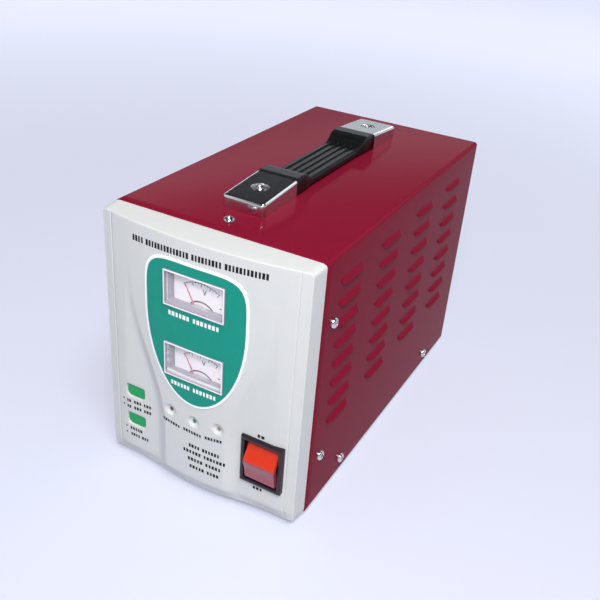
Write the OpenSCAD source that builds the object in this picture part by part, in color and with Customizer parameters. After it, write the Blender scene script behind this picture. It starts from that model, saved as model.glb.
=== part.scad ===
// Automatic voltage stabilizer: relay type, steel case with a moulded front.
// The front faces -Y and +Z is up. The origin is at the bottom centre of the whole.
// Sub-parts are drawn in the case's own frame, with y = 0 at the case's front edge
// and z = 0 at its bottom edge. in_case() carries them to the origin's frame.

/* [Case] */
// Width over the cover's sides
case_w = 125; // [110:1:150]
// Height of the case without its feet
case_h = 155; // [150:1:180]
// Length of the case behind its moulded front
case_l = 222; // [205:1:280]
// Thickness of the cover's sheet
cover_t = 1.0; // [0.8:0.1:1.5]
// Outside radius of the cover's two bends
bend_r = 2.2; // [1.8:0.1:4]
// Thickness of the sheet in the base, the front plate and the rear panel
base_t = 1.2; // [1:0.1:1.6]
// Clearance between the cover and what it slides over
sheet_fit = 0.25; // [0.2:0.05:0.5]

/* [Louvres] */
// Louvres along each side
louvre_columns = 4; // [1:1:4]
// Louvres above each other
louvre_rows = 8; // [1:1:8]
// Length of one louvre
louvre_l = 24; // [16:1:34]
// Height of a louvre's hood
louvre_h = 5.2; // [4:0.2:7]
// How far a hood stands out from the side
louvre_out = 2.2; // [1.8:0.1:2.6]
// Distance between two columns
louvre_column_pitch = 50.4; // [40:0.2:52]
// Distance of the first louvre from the case's front edge
louvre_start = 18.3; // [17:0.1:24]
// Height of the lowest louvre's lip
louvre_low = 50.6; // [30:0.2:54]
// Distance of the highest louvre from the top of the case
louvre_top_gap = 13.1; // [8:0.1:30]

/* [Moulded front] */
// How far the middle of the front stands out
crown_reach = 17.5; // [16:0.1:20]
// How far the flat wings stand out
wing_reach = 13.4; // [13:0.1:14]
// How far the outer corners stand out
edge_reach = 10.6; // [10:0.1:11]
// Wall of the moulding
front_t = 2.5; // [2:0.1:3]
// Half the width of the crown at its top
crown_top_half = 34.5; // [33:0.1:36]
// Half the width of the crown at its foot
crown_foot_half = 16; // [15.5:0.1:18]
// Height where the crown begins to widen
crown_waist_low = 35; // [30:1:45]
// Distance below the case's top where the crown reaches its full width
crown_waist_drop = 38; // [30:1:55]
// Width of the soft step between the crown and a wing
shoulder_w = 12; // [10:0.5:14]

/* [Panel] */
// Half the width of the coloured panel
panel_half = 30; // [28:0.1:32]
// Distance of the panel's widest line below the case's top
panel_waist_drop = 43; // [39:1:47]
// Height of the panel above that line
panel_up = 29; // [26:0.2:32]
// Depth of the panel below that line
panel_down = 53; // [50:0.2:56]
// Thickness of the panel
panel_t = 0.5; // [0.3:0.1:0.8]
// Width of the light border round the panel
border_w = 1.3; // [0.8:0.1:2]

/* [Meters] */
// Width of a meter's window frame
meter_w = 36.6; // [34:0.2:40]
// Height of a meter's window frame
meter_h = 20.2; // [18:0.2:22]
// Distance of the upper window's centre below the case's top
meter_drop = 29.6; // [28:0.1:32]
// Distance between the two windows
meter_pitch = 42.4; // [41:0.1:44]
// Depth of the dial behind the window frame
dial_depth = 8.2; // [7:0.1:9]
// Length of a needle from its pivot
needle_l = 22.4; // [20:0.2:22.6]
// Lean of a needle at zero, to the left of upright
needle_zero = 27; // [20:1:30]

/* [Lamps and buttons] */
// Distance between two indicator lamps
lamp_pitch = 15.5; // [13:0.1:17]
// Distance of the middle lamp below the lower window's centre
lamp_drop = 36; // [33:0.2:39]
// Radius of a lamp
lamp_r = 1.5; // [1.4:0.05:1.6]
// Width of a push button
button_w = 12.2; // [11:0.1:13]
// Height of a push button
button_h = 7.6; // [7:0.1:9]
// Distance of the buttons' middle from the case's side
button_side_gap = 20; // [19.5:0.1:21]
// Height of the upper button
button_high_z = 46.7; // [45:0.1:48]
// Distance between the two buttons
button_pitch = 20; // [18:0.1:22]
// Travel of a push button
button_travel = 2.5; // [2:0.1:2.8]

/* [Power switch] */
// Width of the switch's frame
switch_w = 25.6; // [25:0.1:26]
// Height of the switch's frame
switch_h = 30.8; // [30:0.1:32]
// Distance of the switch's middle from the case's side
switch_side_gap = 20.9; // [20.7:0.1:21.2]
// Height of the switch's centre
switch_z = 34.9; // [34:0.1:36.5]
// Tilt of the rocker either side of level
rocker_tilt = 10; // [8:0.5:11]

/* [Carrying handle] */
// Distance of the handle from the case's front edge
handle_start = 24.8; // [22:0.1:34]
// Distance of the handle from the case's rear edge
handle_rear_gap = 27.7; // [22:0.1:40]
// Width of an end cap
cap_w = 25.6; // [24.4:0.1:28]
// Length of an end cap
cap_l = 34; // [32:0.2:36]
// Height of an end cap at its mouth
cap_h = 10.2; // [9.8:0.1:11.4]
// Width of the strap
strap_w = 22.4; // [20:0.2:23]
// Thickness of the strap between its shoulders
strap_t = 3.4; // [2.8:0.1:4]
// How far the middle of the strap lifts
strap_lift = 18; // [12:1:24]

/* [Feet] */
// Height of a rubber foot
foot_h = 6; // [5.2:0.2:12]
// Radius of a rubber foot where it stands
foot_r = 7.5; // [6:0.1:9]
// Distance of a foot's centre from the case's side
foot_side_inset = 20; // [18:0.5:24]
// Distance of a foot's centre from the case's front and back
foot_end_inset = 26; // [22:0.5:34]

/* [Transformer] */
// Distance of the wound ring from the board and the terminal strip
ring_gap = 6; // [4:0.5:14]
// Radius of the hole in the wound ring
ring_hole_r = 17; // [14:0.5:20]
// Height of the wound ring
ring_h = 44; // [36:0.5:50]

/* [Rear panel] */
// Width of an output socket's face
socket_w = 44; // [42:0.5:48]
// Height of an output socket's face
socket_h = 46; // [44:0.5:50]
// Bore of the cord gland
cord_r = 3.75; // [3.5:0.05:4]

/* [Hidden] */

$fn = 48;
small_fn = 24;
hull_fn = 24;
overrun = 0.5; // how far every cut runs past its face
seat = 0.1; // clearance where a loose piece lies on its seat
running = 0.06; // radial clearance of a pin in its bearing

// Screws
thread_fit = 0.05; // radial clearance of a screw in its pilot hole
m3_r = 1.4;
m3_head_r = 3;
m3_head_h = 2.2;
m3_hole_r = 1.8;
m4_r = 1.9;
m4_head_r = 3.6;
m4_head_h = 2.6;
slot_share = 0.26; // width of a cross recess, as a share of the head's radius
slot_long_share = 0.62;
slot_deep_share = 0.5;

// Case
inner_half = case_w / 2 - cover_t - sheet_fit; // half the room between the cover's sides
inner_top = case_h - cover_t - sheet_fit;
seam = 0.3; // the gap between the moulded front and the cover
panel_inset = 0.8; // the cover runs on past the rear panel
panel_y = case_l - base_t - panel_inset; // inner face of the rear panel
chassis_start = base_t + sheet_fit;
flange_h = 16;
plate_flange = 18;
side_screw_low_z = 32.5;
side_screw_drop = 37.5;
side_screw_high_z = case_h - side_screw_drop;
side_screw_y = 12.5;
top_screw_y = 12.5;
base_screw_front_y = 42.5;
base_screw_rear_inset = 44.5;
base_screw_z = 9;
flange_start = 24;
vent_w = 3;
vent_l = 24;
vent_pitch = 7;
vent_count = 5;
vent_side = 27;
vent_row_y = 38;

// Louvres
louvre_nose = 3.2; // run of a hood's sloping ends
louvre_row_pitch = (case_h - louvre_top_gap - louvre_h - louvre_low) / max(louvre_rows - 1, 1);
louvre_cut_drop = 0.4; // how far the slit opens below the lip
hood_t_share = 0.75; // sheet left in a pressed hood, as a share of the cover's

// Moulded front
side_draft = 1.1;
top_draft = 0.7;
foot_draft = 0.4;
strip_w = 7; // the outer strip beside each wing
groove_w = 0.5;
groove_deep = 0.4;
step_fade_low = 60;
step_fade_drop = 3; // the step dies away this far below the case's top
step_fade_high = case_h - step_fade_drop;
crown_waist_high = case_h - crown_waist_drop;
shoulder_cuts = 4;
fade_share = 0.9; // the step's foot at its top end, as a share of its width
hollow_share = 0.33; // the hollow's reach under the step, as a share of its width
waist_cuts = 6;
boss_r = 3.2;
boss_inset = 7.5;
boss_x = case_w / 2 - boss_inset;
boss_low_z = 7;
boss_drop = 9;
boss_high_z = case_h - boss_drop;
boss_bore_l = 7;
boss_back = 0.1;

// Coloured panel
panel_cuts = 56;
panel_top_power = 5;
panel_foot_power = 2;
panel_waist_z = case_h - panel_waist_drop;
crown_r = (case_w * case_w / 4 + pow(crown_reach - edge_reach, 2)) / (crown_reach - edge_reach) / 2;

// Meters
meter_high_z = case_h - meter_drop;
meter_low_z = meter_high_z - meter_pitch;
frame_proud = 0.6;
window_fit = 0.15;
tube_t = 1.2;
lens_drop = 0.9;
lens_t = 1;
box_w = 42;
box_up = 12.1; // the meter's box above the window's centre
box_down = 23.4; // and below it
box_t = 1.2;
box_face_t = 1; // the wall of the box behind the panel
box_front = 14; // distance of the box's face in front of the case's edge
dial_t = 0.8;
movement_plate_t = 1.2;
coil_w = 24;
coil_l = 13;
pivot_drop = 16; // the needle's pivot below the window's centre
pivot_cover_r = 8.6;
pivot_cover_t = 0.5;
pivot_post_r = 1;
pivot_post_share = 0.5;
pivot_low_share = 0.65; // the cover's disc is cut off flat below this
pivot_cover_lift = 2.3; // from the dial to the cover's face
needle_w = 0.7;
needle_t = 0.4;
needle_lift = 1.1; // from the dial to the middle of the needle
hub_r = 1.8;
hub_t = 0.8;
shaft_r = 0.5;
dial_hole_r = 1.2;
front_face = crown_reach + panel_t; // distance of the panel's face in front of the case's edge
meter_face = front_face + frame_proud;
dial_y = -meter_face + dial_depth;
needle_y = dial_y - needle_lift;
pivot_cover_y = dial_y - pivot_cover_lift;

// Lamps
lamp_rise = 1.4; // the outer lamps stand higher than the middle one
lamp_z = meter_low_z - lamp_drop;
lamp_hole_r = lamp_r + seat;
lamp_flange_r = 1.95;
lamp_flange_t = 1;
lamp_l = 5;
dimple_r = 3.4;
dimple_deep = 1.1;
lamp_board_w = 40;
lamp_board_h = 12;
board_t = 1.6;
lamp_board_y = -11;
lamp_proud = 0.4;
lamp_post_x = 8;
lamp_post_r = 2;
pilot_r = 0.9;
small_screw_head_r = 1.8;
small_screw_head_h = 1.2;

// Push buttons
button_x = case_w / 2 - button_side_gap;
button_gap = 0.3;
button_sink = 0.8;
button_corner_low = 2.8;
button_corner_high = 1;
button_rim = 1;
button_rim_t = 1.2;
button_stem_r = 1.6;
stem_in = 1.9; // how far a button's stem is in its switch
push_body_w = 8.5;
push_body_l = 10;
push_body_y = -3.8;
push_board_w = 22;
push_board_h = 44;
push_post_z = 18.5; // the board's posts above and below the buttons' middle
push_post_r = 2.2;

// Power switch
switch_x = case_w / 2 - switch_side_gap;
switch_corner = 0.6;
switch_face_t = 2;
switch_rim = 2.4;
switch_body_w = 22;
switch_body_h = 28;
switch_body_l = 20;
switch_wall = 1.2;
switch_cavity_l = 12;
rocker_side_gap = 0.35;
rocker_roof = 24; // slope of each half of the rocker
rocker_crest = 9.5; // distance of its crest from the pivot
rocker_pivot_back = 6.2; // the pivot behind the frame's face
rocker_end_r = 12.6;
rocker_pin_r = 1.5;
rocker_pin_l = 0.8;
rocker_half = 12;
rocker_web_r = 4.4;
blade_w = 6.3;
blade_t = 0.8;
blade_l = 9;
blade_x = 5.5;
blade_z = 7;
switch_face_y = -wing_reach - switch_face_t;
switch_seat_y = seat - arc_reach(switch_x + switch_w / 2);
rocker_y = switch_face_y + rocker_pivot_back;

// Handle
cap_t = 1;
cap_nose_drop = 2.6; // the cap is this much lower at its outer end
cap_corner = 2.4;
cap_inset = 17; // the screw's distance from the cap's outer end
dish_r = 4.9;
dish_low_r = 4;
dish_deep = 2.2;
strap_gap = 1.4; // the strap's height above the case
tab_t = 3.2;
tab_gap = 0.4;
tab_start = 6; // the tab's end inside the cap
tab_w = 19;
tab_slot_r = 2.8;
tab_slot_l = 9;
shoulder_start = 0.3;
shoulder_l = 15;
shoulder_h = cap_h + 0.6;
shoulder_low = 0.8;
flex_l = 30; // the strap's flexible length outside each cap
rib_count = 4;
rib_w = 2;
rib_t = 0.8;
nut_r = 4.2;
nut_t = 3.2;
washer_r = 6;
washer_t = 1;
handle_screw_l = 16;
handle_end = case_l - handle_rear_gap;

// Feet
foot_top_share = 1.12;
foot_recess_share = 0.55;
foot_screw_l = 9;

// Transformer
ring_corner_share = 0.27; // rounding of the ring's section, as a share of its width
pad_t = 2;
dish_t = 2;
dish_well = 8;
bolt_r = 4;
bolt_head_r = 7.2;
bolt_head_h = 4.6;
bolt_fit = 0.4;
big_nut_h = 6.4;

// Control board
main_board_w = 104;
main_board_l = 56;
main_board_y = 16;
main_board_z = 10;
main_board_inset = 5;
post_r = 3;
relay_w = 19;
relay_l = 15.4;
relay_h = 15.6;
relay_count = 4;
relay_pitch = 22;
relay_lift = 0.2;
cap_small_r = 5;
cap_small_h = 16;
cap_big_r = 8;
cap_big_h = 25;
sink_w = 30;
sink_h = 24;
sink_t = 2;
sink_fin = 8;
sink_fins = 5;
strip_gap = 2; // from the terminal strip to the rear panel's foot
strip_l = 64;
strip_deep = 16;
strip_h = 13;
strip_ways = 5;
strip_y = panel_y - plate_flange - strip_gap - strip_deep;
ring_room = strip_y - main_board_y - main_board_l;
ring_y = strip_y - ring_room / 2; // midway between the board and the strip
ring_r = ring_room / 2 - ring_gap;
ring_corner = (ring_r - ring_hole_r) * ring_corner_share;
plate_r = (ring_r + ring_hole_r) / 2;

// Rear panel
socket_x = 27;
socket_drop = 43;
socket_z = case_h - socket_drop;
socket_face_t = 3;
socket_body_w = 39;
socket_body_h = 41;
socket_body_l = 22;
socket_corner = 3;
slot_deep = 19;
live_slot_w = 8.6;
live_slot_h = 6.4;
live_slot_x = 8;
live_slot_z = -7;
earth_slot_w = 6.2;
earth_slot_h = 8.6;
earth_slot_z = 9;
breaker_x = -27;
breaker_z = 40;
breaker_body_w = 15;
breaker_body_h = 32;
breaker_body_l = 30;
breaker_bush_r = 5.4;
breaker_bush_l = 5;
breaker_nut_r = 8.2;
breaker_nut_h = 2.6;
breaker_button_r = 3.4;
breaker_button_l = 8;
breaker_travel = 3.5;
gland_x = 30;
gland_z = 32;
gland_out = 12;
gland_r = 8.4;
gland_tip_r = 6;
gland_flange_t = 2.4;
gland_neck_r = 6.4;
gland_in = 7;
gland_lip_r = 7.4;
gland_lip_t = 2;
rear_vent_count = 4;
rear_vent_l = 70;
rear_vent_pitch = 6;
rear_vent_gap = 3.5; // from the sockets down to the highest slot's middle
rear_vent_z = socket_z - socket_h / 2 - rear_vent_gap - (rear_vent_count - 1) * rear_vent_pitch;

// Places in the origin's frame
front_y = -(case_l + gland_out - meter_face) / 2;
base_z = foot_h;

function blend(share) = (1 - cos(180 * min(max(share, 0), 1))) / 2;

// The crown's half width swells from its foot to its top on a half cosine wave.
function crown_half(z) = crown_foot_half
    + (crown_top_half - crown_foot_half)
        * blend((z - crown_waist_low) / (crown_waist_high - crown_waist_low));

// The front's reach: one long arc, and a flat floor at each wing that rises into it near the top.
function arc_reach(x) = sqrt(crown_r * crown_r - x * x) - crown_r + crown_reach;
function wing_floor(z) = wing_reach
    + (arc_reach(crown_top_half + shoulder_w * fade_share) - wing_reach)
        * blend((z - step_fade_low) / (step_fade_high - step_fade_low));

// The heights at which a wing is set out.
height_cuts = concat([-overrun],
    [for (i = [0 : waist_cuts]) crown_waist_low + (crown_waist_high - crown_waist_low) * i / waist_cuts],
    [(crown_waist_high + step_fade_high) / 2, step_fade_high, case_h + overrun]);

module in_case() {
    translate([0, front_y, base_z]) children();
}

// A box between two corners.
module block(low, high) {
    translate(low) cube(high - low);
}

module rod_x(place, r, l) {
    translate(place) rotate([0, 90, 0]) cylinder(r = r, h = l);
}

module rod_y(place, r, l) {
    translate(place) rotate([-90, 0, 0]) cylinder(r = r, h = l);
}

module rod_z(place, r, l) {
    translate(place) cylinder(r = r, h = l);
}

// Pushes a drawing in x and z along y, from y0 to y1.
module push_y(y0, y1) {
    translate([0, y1, 0]) rotate([90, 0, 0]) linear_extrude(height = y1 - y0) children();
}

// A rectangle about the origin with round corners.
module round_rect(w, h, r) {
    square([w - 2 * r, h], center = true);
    square([w, h - 2 * r], center = true);
    for (x = [-1, 1], y = [-1, 1])
        translate([x * (w / 2 - r), y * (h / 2 - r)]) circle(r = r, $fn = small_fn);
}

// A pan-head screw that points down from the origin, with a cross recess.
module pan_screw(r, head_r, head_h, l) {
    difference() {
        union() {
            translate([0, 0, -l]) cylinder(r = r, h = l + head_h / 2, $fn = small_fn);
            cylinder(r = head_r, h = head_h / 2, $fn = small_fn);
            translate([0, 0, head_h / 2]) cylinder(r1 = head_r, r2 = head_r * 0.7, h = head_h / 2,
                $fn = small_fn);
        }
        for (turn = [45, 135])
            rotate([0, 0, turn])
                translate([-head_r * slot_long_share, -head_r * slot_share / 2,
                    head_h * (1 - slot_deep_share)])
                    cube([2 * head_r * slot_long_share, head_r * slot_share, head_h]);
    }
}

// Case and cover

module cover_outline(w, h, r) {
    translate([-w / 2, 0]) square([w, h - r]);
    translate([-w / 2 + r, 0]) square([w - 2 * r, h]);
    for (x = [-1, 1])
        translate([x * (w / 2 - r), h - r]) circle(r = r, $fn = small_fn);
}

// A pressed hood on the plane x = 0, open below: a wedge whose slopes run on to x = -back.
module hood(out, h, l, nose, back) {
    foot_half = l / 2 + nose * back / out;
    top_half = l / 2 - nose;
    top = h * (1 + back / out);
    polyhedron(
        points = [[-back, -foot_half, 0], [-back, foot_half, 0], [-back, top_half, top],
            [-back, -top_half, top],
            [out, -top_half, 0], [out, top_half, 0]],
        faces = [[0, 1, 2, 3], [4, 5, 1, 0], [3, 2, 5, 4], [3, 4, 0], [5, 2, 1]]);
}

module each_louvre() {
    for (side = [-1, 1], i = [0 : louvre_columns - 1], k = [0 : louvre_rows - 1])
        translate([side * case_w / 2, louvre_start + louvre_l / 2 + i * louvre_column_pitch,
                louvre_low + k * louvre_row_pitch])
            rotate([0, 0, 90 - side * 90]) children();
}

// Places and turns of the cover's screws: each is [place, turn].
side_screws = [for (side = [-1, 1], place = [
        [side_screw_y, side_screw_low_z], [side_screw_y, side_screw_high_z],
        [base_screw_front_y, base_screw_z], [case_l - base_screw_rear_inset, base_screw_z]])
    [[side * case_w / 2, place[0], place[1]], side * 90]];

module each_cover_screw() {
    for (screw = side_screws)
        translate(screw[0]) rotate([0, screw[1], 0]) children();
    translate([0, top_screw_y, case_h]) children();
}

module each_handle_screw() {
    for (y = [handle_start + cap_inset, handle_end - cap_inset])
        translate([0, y, case_h]) children();
}

module cover() {
    hood_t = cover_t * hood_t_share;
    color([0.48, 0.13, 0.22])
    in_case()
    difference() {
        union() {
            difference() {
                push_y(seam, case_l) cover_outline(case_w, case_h, bend_r);
                push_y(seam - overrun, case_l + overrun)
                    translate([0, -overrun])
                        cover_outline(case_w - 2 * cover_t, case_h - cover_t + overrun, bend_r - cover_t);
            }
            each_louvre() hood(louvre_out, louvre_h, louvre_l, louvre_nose, cover_t / 2);
        }
        each_louvre()
            translate([0, 0, -louvre_cut_drop])
                hood(louvre_out - hood_t, louvre_h - hood_t, louvre_l - 2 * hood_t,
                    louvre_nose, cover_t + overrun);
        each_cover_screw()
            translate([0, 0, -cover_t - overrun])
                cylinder(r = m3_hole_r, h = cover_t + 2 * overrun, $fn = small_fn);
        each_handle_screw()
            translate([0, 0, -cover_t - overrun])
                cylinder(r = m4_r + seat, h = cover_t + 2 * overrun, $fn = small_fn);
    }
}

// Places of the feet, seen from above.
foot_places = [for (x = [-1, 1], y = [foot_end_inset, case_l - foot_end_inset])
    [x * (case_w / 2 - foot_side_inset), y]];

// Places of the screws that hold the front plate and the rear panel to the base.
frame_screw_inset = 25.25;
frame_screw_x = inner_half - frame_screw_inset;
frame_screw_places = [for (x = [-1, 1], y = [base_t + plate_flange / 2, panel_y - plate_flange / 2])
    [x * frame_screw_x, y]];

// Places of the control board's posts.
board_post_places = [for (x = [-1, 1],
        y = [main_board_y + main_board_inset, main_board_y + main_board_l - main_board_inset])
    [x * (main_board_w / 2 - main_board_inset), y]];

module base_chassis() {
    color([0.62, 0.63, 0.65])
    in_case()
    difference() {
        union() {
            block([-inner_half, chassis_start, 0], [inner_half, panel_y - sheet_fit, base_t]);
            for (side = [0, 1])
                mirror([side, 0, 0])
                    block([inner_half - base_t, flange_start, 0],
                        [inner_half, panel_y - flange_start, flange_h]);
        }
        for (side = [-1, 1], y = [base_screw_front_y, case_l - base_screw_rear_inset])
            rod_x([side * inner_half - base_t - overrun, y, base_screw_z], m3_r + thread_fit,
                2 * (base_t + overrun), $fn = small_fn);
        for (place = foot_places)
            rod_z([place[0], place[1], -overrun], m3_r + thread_fit, base_t + 2 * overrun,
                $fn = small_fn);
        for (place = concat(board_post_places, frame_screw_places))
            rod_z([place[0], place[1], -overrun], m3_hole_r, base_t + 2 * overrun, $fn = small_fn);
        rod_z([0, ring_y, -overrun], bolt_r + bolt_fit, base_t + 2 * overrun);
        for (side = [-1, 1], i = [0 : vent_count - 1])
            translate([side * vent_side - vent_l / 2,
                ring_y - vent_row_y + i * (vent_w + vent_pitch) + vent_pitch * 2, -overrun])
                cube([vent_l, vent_w, base_t + 2 * overrun]);
    }
}

// Room for what stands behind the moulded front, cut through the front plate.
cut_gap = 1;

module front_plate() {
    color([0.62, 0.63, 0.65])
    in_case()
    difference() {
        union() {
            push_y(0, base_t) cover_outline(2 * inner_half, inner_top, bend_r);
            for (side = [0, 1])
                mirror([side, 0, 0])
                    block([inner_half - base_t, 0, flange_h],
                        [inner_half, plate_flange, inner_top - bend_r]);
            block([-inner_half + bend_r, 0, inner_top - base_t],
                [inner_half - bend_r, plate_flange, inner_top]);
            block([-inner_half + plate_flange, 0, base_t],
                [inner_half - plate_flange, plate_flange, 2 * base_t]);
        }
        block([-box_w / 2 - cut_gap, -overrun, meter_low_z - box_down - cut_gap],
            [box_w / 2 + cut_gap, base_t + overrun, meter_high_z + box_up + cut_gap]);
        block([-lamp_board_w / 2 - cut_gap, -overrun, lamp_z - lamp_board_h / 2 - cut_gap],
            [lamp_board_w / 2 + cut_gap, base_t + overrun, lamp_z + lamp_board_h / 2 + cut_gap]);
        block([switch_x - switch_body_w / 2 - cut_gap, -overrun, switch_z - switch_body_h / 2 - cut_gap],
            [switch_x + switch_body_w / 2 + cut_gap, base_t + overrun,
                switch_z + switch_body_h / 2 + cut_gap]);
        block([-button_x - push_board_w / 2 - cut_gap, -overrun,
            button_mid_z - push_board_h / 2 - cut_gap],
            [-button_x + push_board_w / 2 + cut_gap, base_t + overrun,
                button_mid_z + push_board_h / 2 + cut_gap]);
        for (side = [-1, 1], z = [side_screw_low_z, side_screw_high_z])
            rod_x([side * inner_half - base_t - overrun, side_screw_y, z], m3_r + thread_fit,
                2 * (base_t + overrun), $fn = small_fn);
        rod_z([0, top_screw_y, inner_top - base_t - overrun], m3_r + thread_fit, base_t + 2 * overrun,
            $fn = small_fn);
        for (x = [-1, 1])
            rod_z([x * frame_screw_x, base_t + plate_flange / 2, 0], m3_r + thread_fit,
                2 * base_t + overrun, $fn = small_fn);
        for (x = [-1, 1], z = [boss_low_z, boss_high_z])
            rod_y([x * boss_x, -overrun, z], m3_hole_r, base_t + 2 * overrun, $fn = small_fn);
    }
}

button_mid_z = button_high_z - button_pitch / 2;

module rear_panel() {
    color([0.16, 0.16, 0.17])
    in_case()
    difference() {
        union() {
            push_y(panel_y, panel_y + base_t) cover_outline(2 * inner_half, inner_top, bend_r);
            for (side = [0, 1])
                mirror([side, 0, 0])
                    block([inner_half - base_t, panel_y - plate_flange, flange_h],
                        [inner_half, panel_y, inner_top - bend_r]);
            block([-inner_half + bend_r, panel_y - plate_flange, inner_top - base_t],
                [inner_half - bend_r, panel_y, inner_top]);
            block([-inner_half + plate_flange, panel_y - plate_flange, base_t],
                [inner_half - plate_flange, panel_y, 2 * base_t]);
        }
        for (x = [-1, 1])
            rod_z([x * frame_screw_x, panel_y - plate_flange / 2, 0], m3_r + thread_fit,
                2 * base_t + overrun, $fn = small_fn);
        for (x = [-1, 1])
            block([x * socket_x - socket_body_w / 2 - seat, panel_y - overrun,
                socket_z - socket_body_h / 2 - seat],
                [x * socket_x + socket_body_w / 2 + seat, panel_y + base_t + overrun,
                    socket_z + socket_body_h / 2 + seat]);
        for (i = [0 : rear_vent_count - 1])
            block([-rear_vent_l / 2, panel_y - overrun, rear_vent_z + i * rear_vent_pitch - vent_w / 2],
                [rear_vent_l / 2, panel_y + base_t + overrun,
                    rear_vent_z + i * rear_vent_pitch + vent_w / 2]);
        rod_y([breaker_x, panel_y - overrun, breaker_z], breaker_bush_r + seat, base_t + 2 * overrun);
        rod_y([gland_x, panel_y - overrun, gland_z], gland_neck_r + seat, base_t + 2 * overrun);
    }
}

// Moulded front

// The room cut away in front of a wing, with a soft step beside the crown.
module wing_room(side) {
    front = crown_reach + overrun;
    rings = [for (z = height_cuts)
        let (half = crown_half(z), low = wing_floor(z), high = max(arc_reach(half), low) + overrun)
        concat([[side * case_w, -low, z]],
            [for (i = [0 : shoulder_cuts + 1])
                let (share = i / (shoulder_cuts + 1))
                [side * (half + shoulder_w * (1 - share)), -low - (high - low) * blend(share), z]],
            [[side * half, -front, z], [side * case_w, -front, z]])];
    around = len(rings[0]);
    up = len(rings);
    polyhedron(
        points = [for (ring = rings, i = [0 : around - 1]) ring[side > 0 ? i : around - 1 - i]],
        faces = concat(
            [[for (i = [0 : around - 1]) i]],
            [[for (i = [around - 1 : -1 : 0]) (up - 1) * around + i]],
            [for (k = [0 : up - 2], i = [0 : around - 1])
                [k * around + i, (k + 1) * around + i, k * around + (i + 1) % around]],
            [for (k = [0 : up - 2], i = [0 : around - 1])
                [k * around + (i + 1) % around, (k + 1) * around + i,
                    (k + 1) * around + (i + 1) % around]]));
}

// The arc's solid, set back by an inset.
module arc_body(inset) {
    translate([0, crown_r - crown_reach, -overrun])
        cylinder(r = crown_r - inset, h = case_h + 2 * overrun, $fn = 4 * $fn);
}

// The crown seen from the front, widened by an amount.
module crown_outline(grow) {
    polygon(concat(
        [for (z = height_cuts) [crown_half(z) + grow, z]],
        [for (i = [len(height_cuts) - 1 : -1 : 0]) [-grow - crown_half(height_cuts[i]),
            height_cuts[i]]]));
}

// The front's drafted sides: its outline shrinks towards the front.
module drafted(inset) {
    reach = crown_reach + overrun;
    draft = reach / edge_reach;
    hull() {
        push_y(-overrun / 100, 0)
            translate([0, case_h / 2]) round_rect(case_w - 2 * inset, case_h - 2 * inset, bend_r,
                $fn = hull_fn);
        push_y(-reach, -reach + overrun / 100)
            translate([0, case_h / 2 - (top_draft - foot_draft) / 2 * draft])
                round_rect(case_w - 2 * inset - 2 * side_draft * draft,
                    case_h - 2 * inset - (top_draft + foot_draft) * draft, bend_r, $fn = hull_fn);
    }
}

module button_outline(grow) {
    hull() {
        for (side = [-1, 1]) {
            translate([side * (button_w / 2 - button_corner_low), -button_h / 2 + button_corner_low])
                circle(r = button_corner_low + grow, $fn = small_fn);
            translate([side * (button_w / 2 - button_corner_high), button_h / 2 - button_corner_high])
                circle(r = button_corner_high + grow, $fn = small_fn);
        }
    }
}

button_heights = [button_high_z, button_high_z - button_pitch];
button_back = front_t - arc_reach(button_x + button_w / 2 + button_rim); // the wall behind a button's rim
boss_front = front_t - arc_reach(boss_x - boss_r) - overrun;
groove_y = groove_deep - arc_reach(case_w / 2 - strip_w);
lamp_places = [for (i = [-1 : 1]) [i * lamp_pitch, lamp_z + abs(i) * lamp_rise]];
meter_heights = [meter_high_z, meter_low_z];

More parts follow.
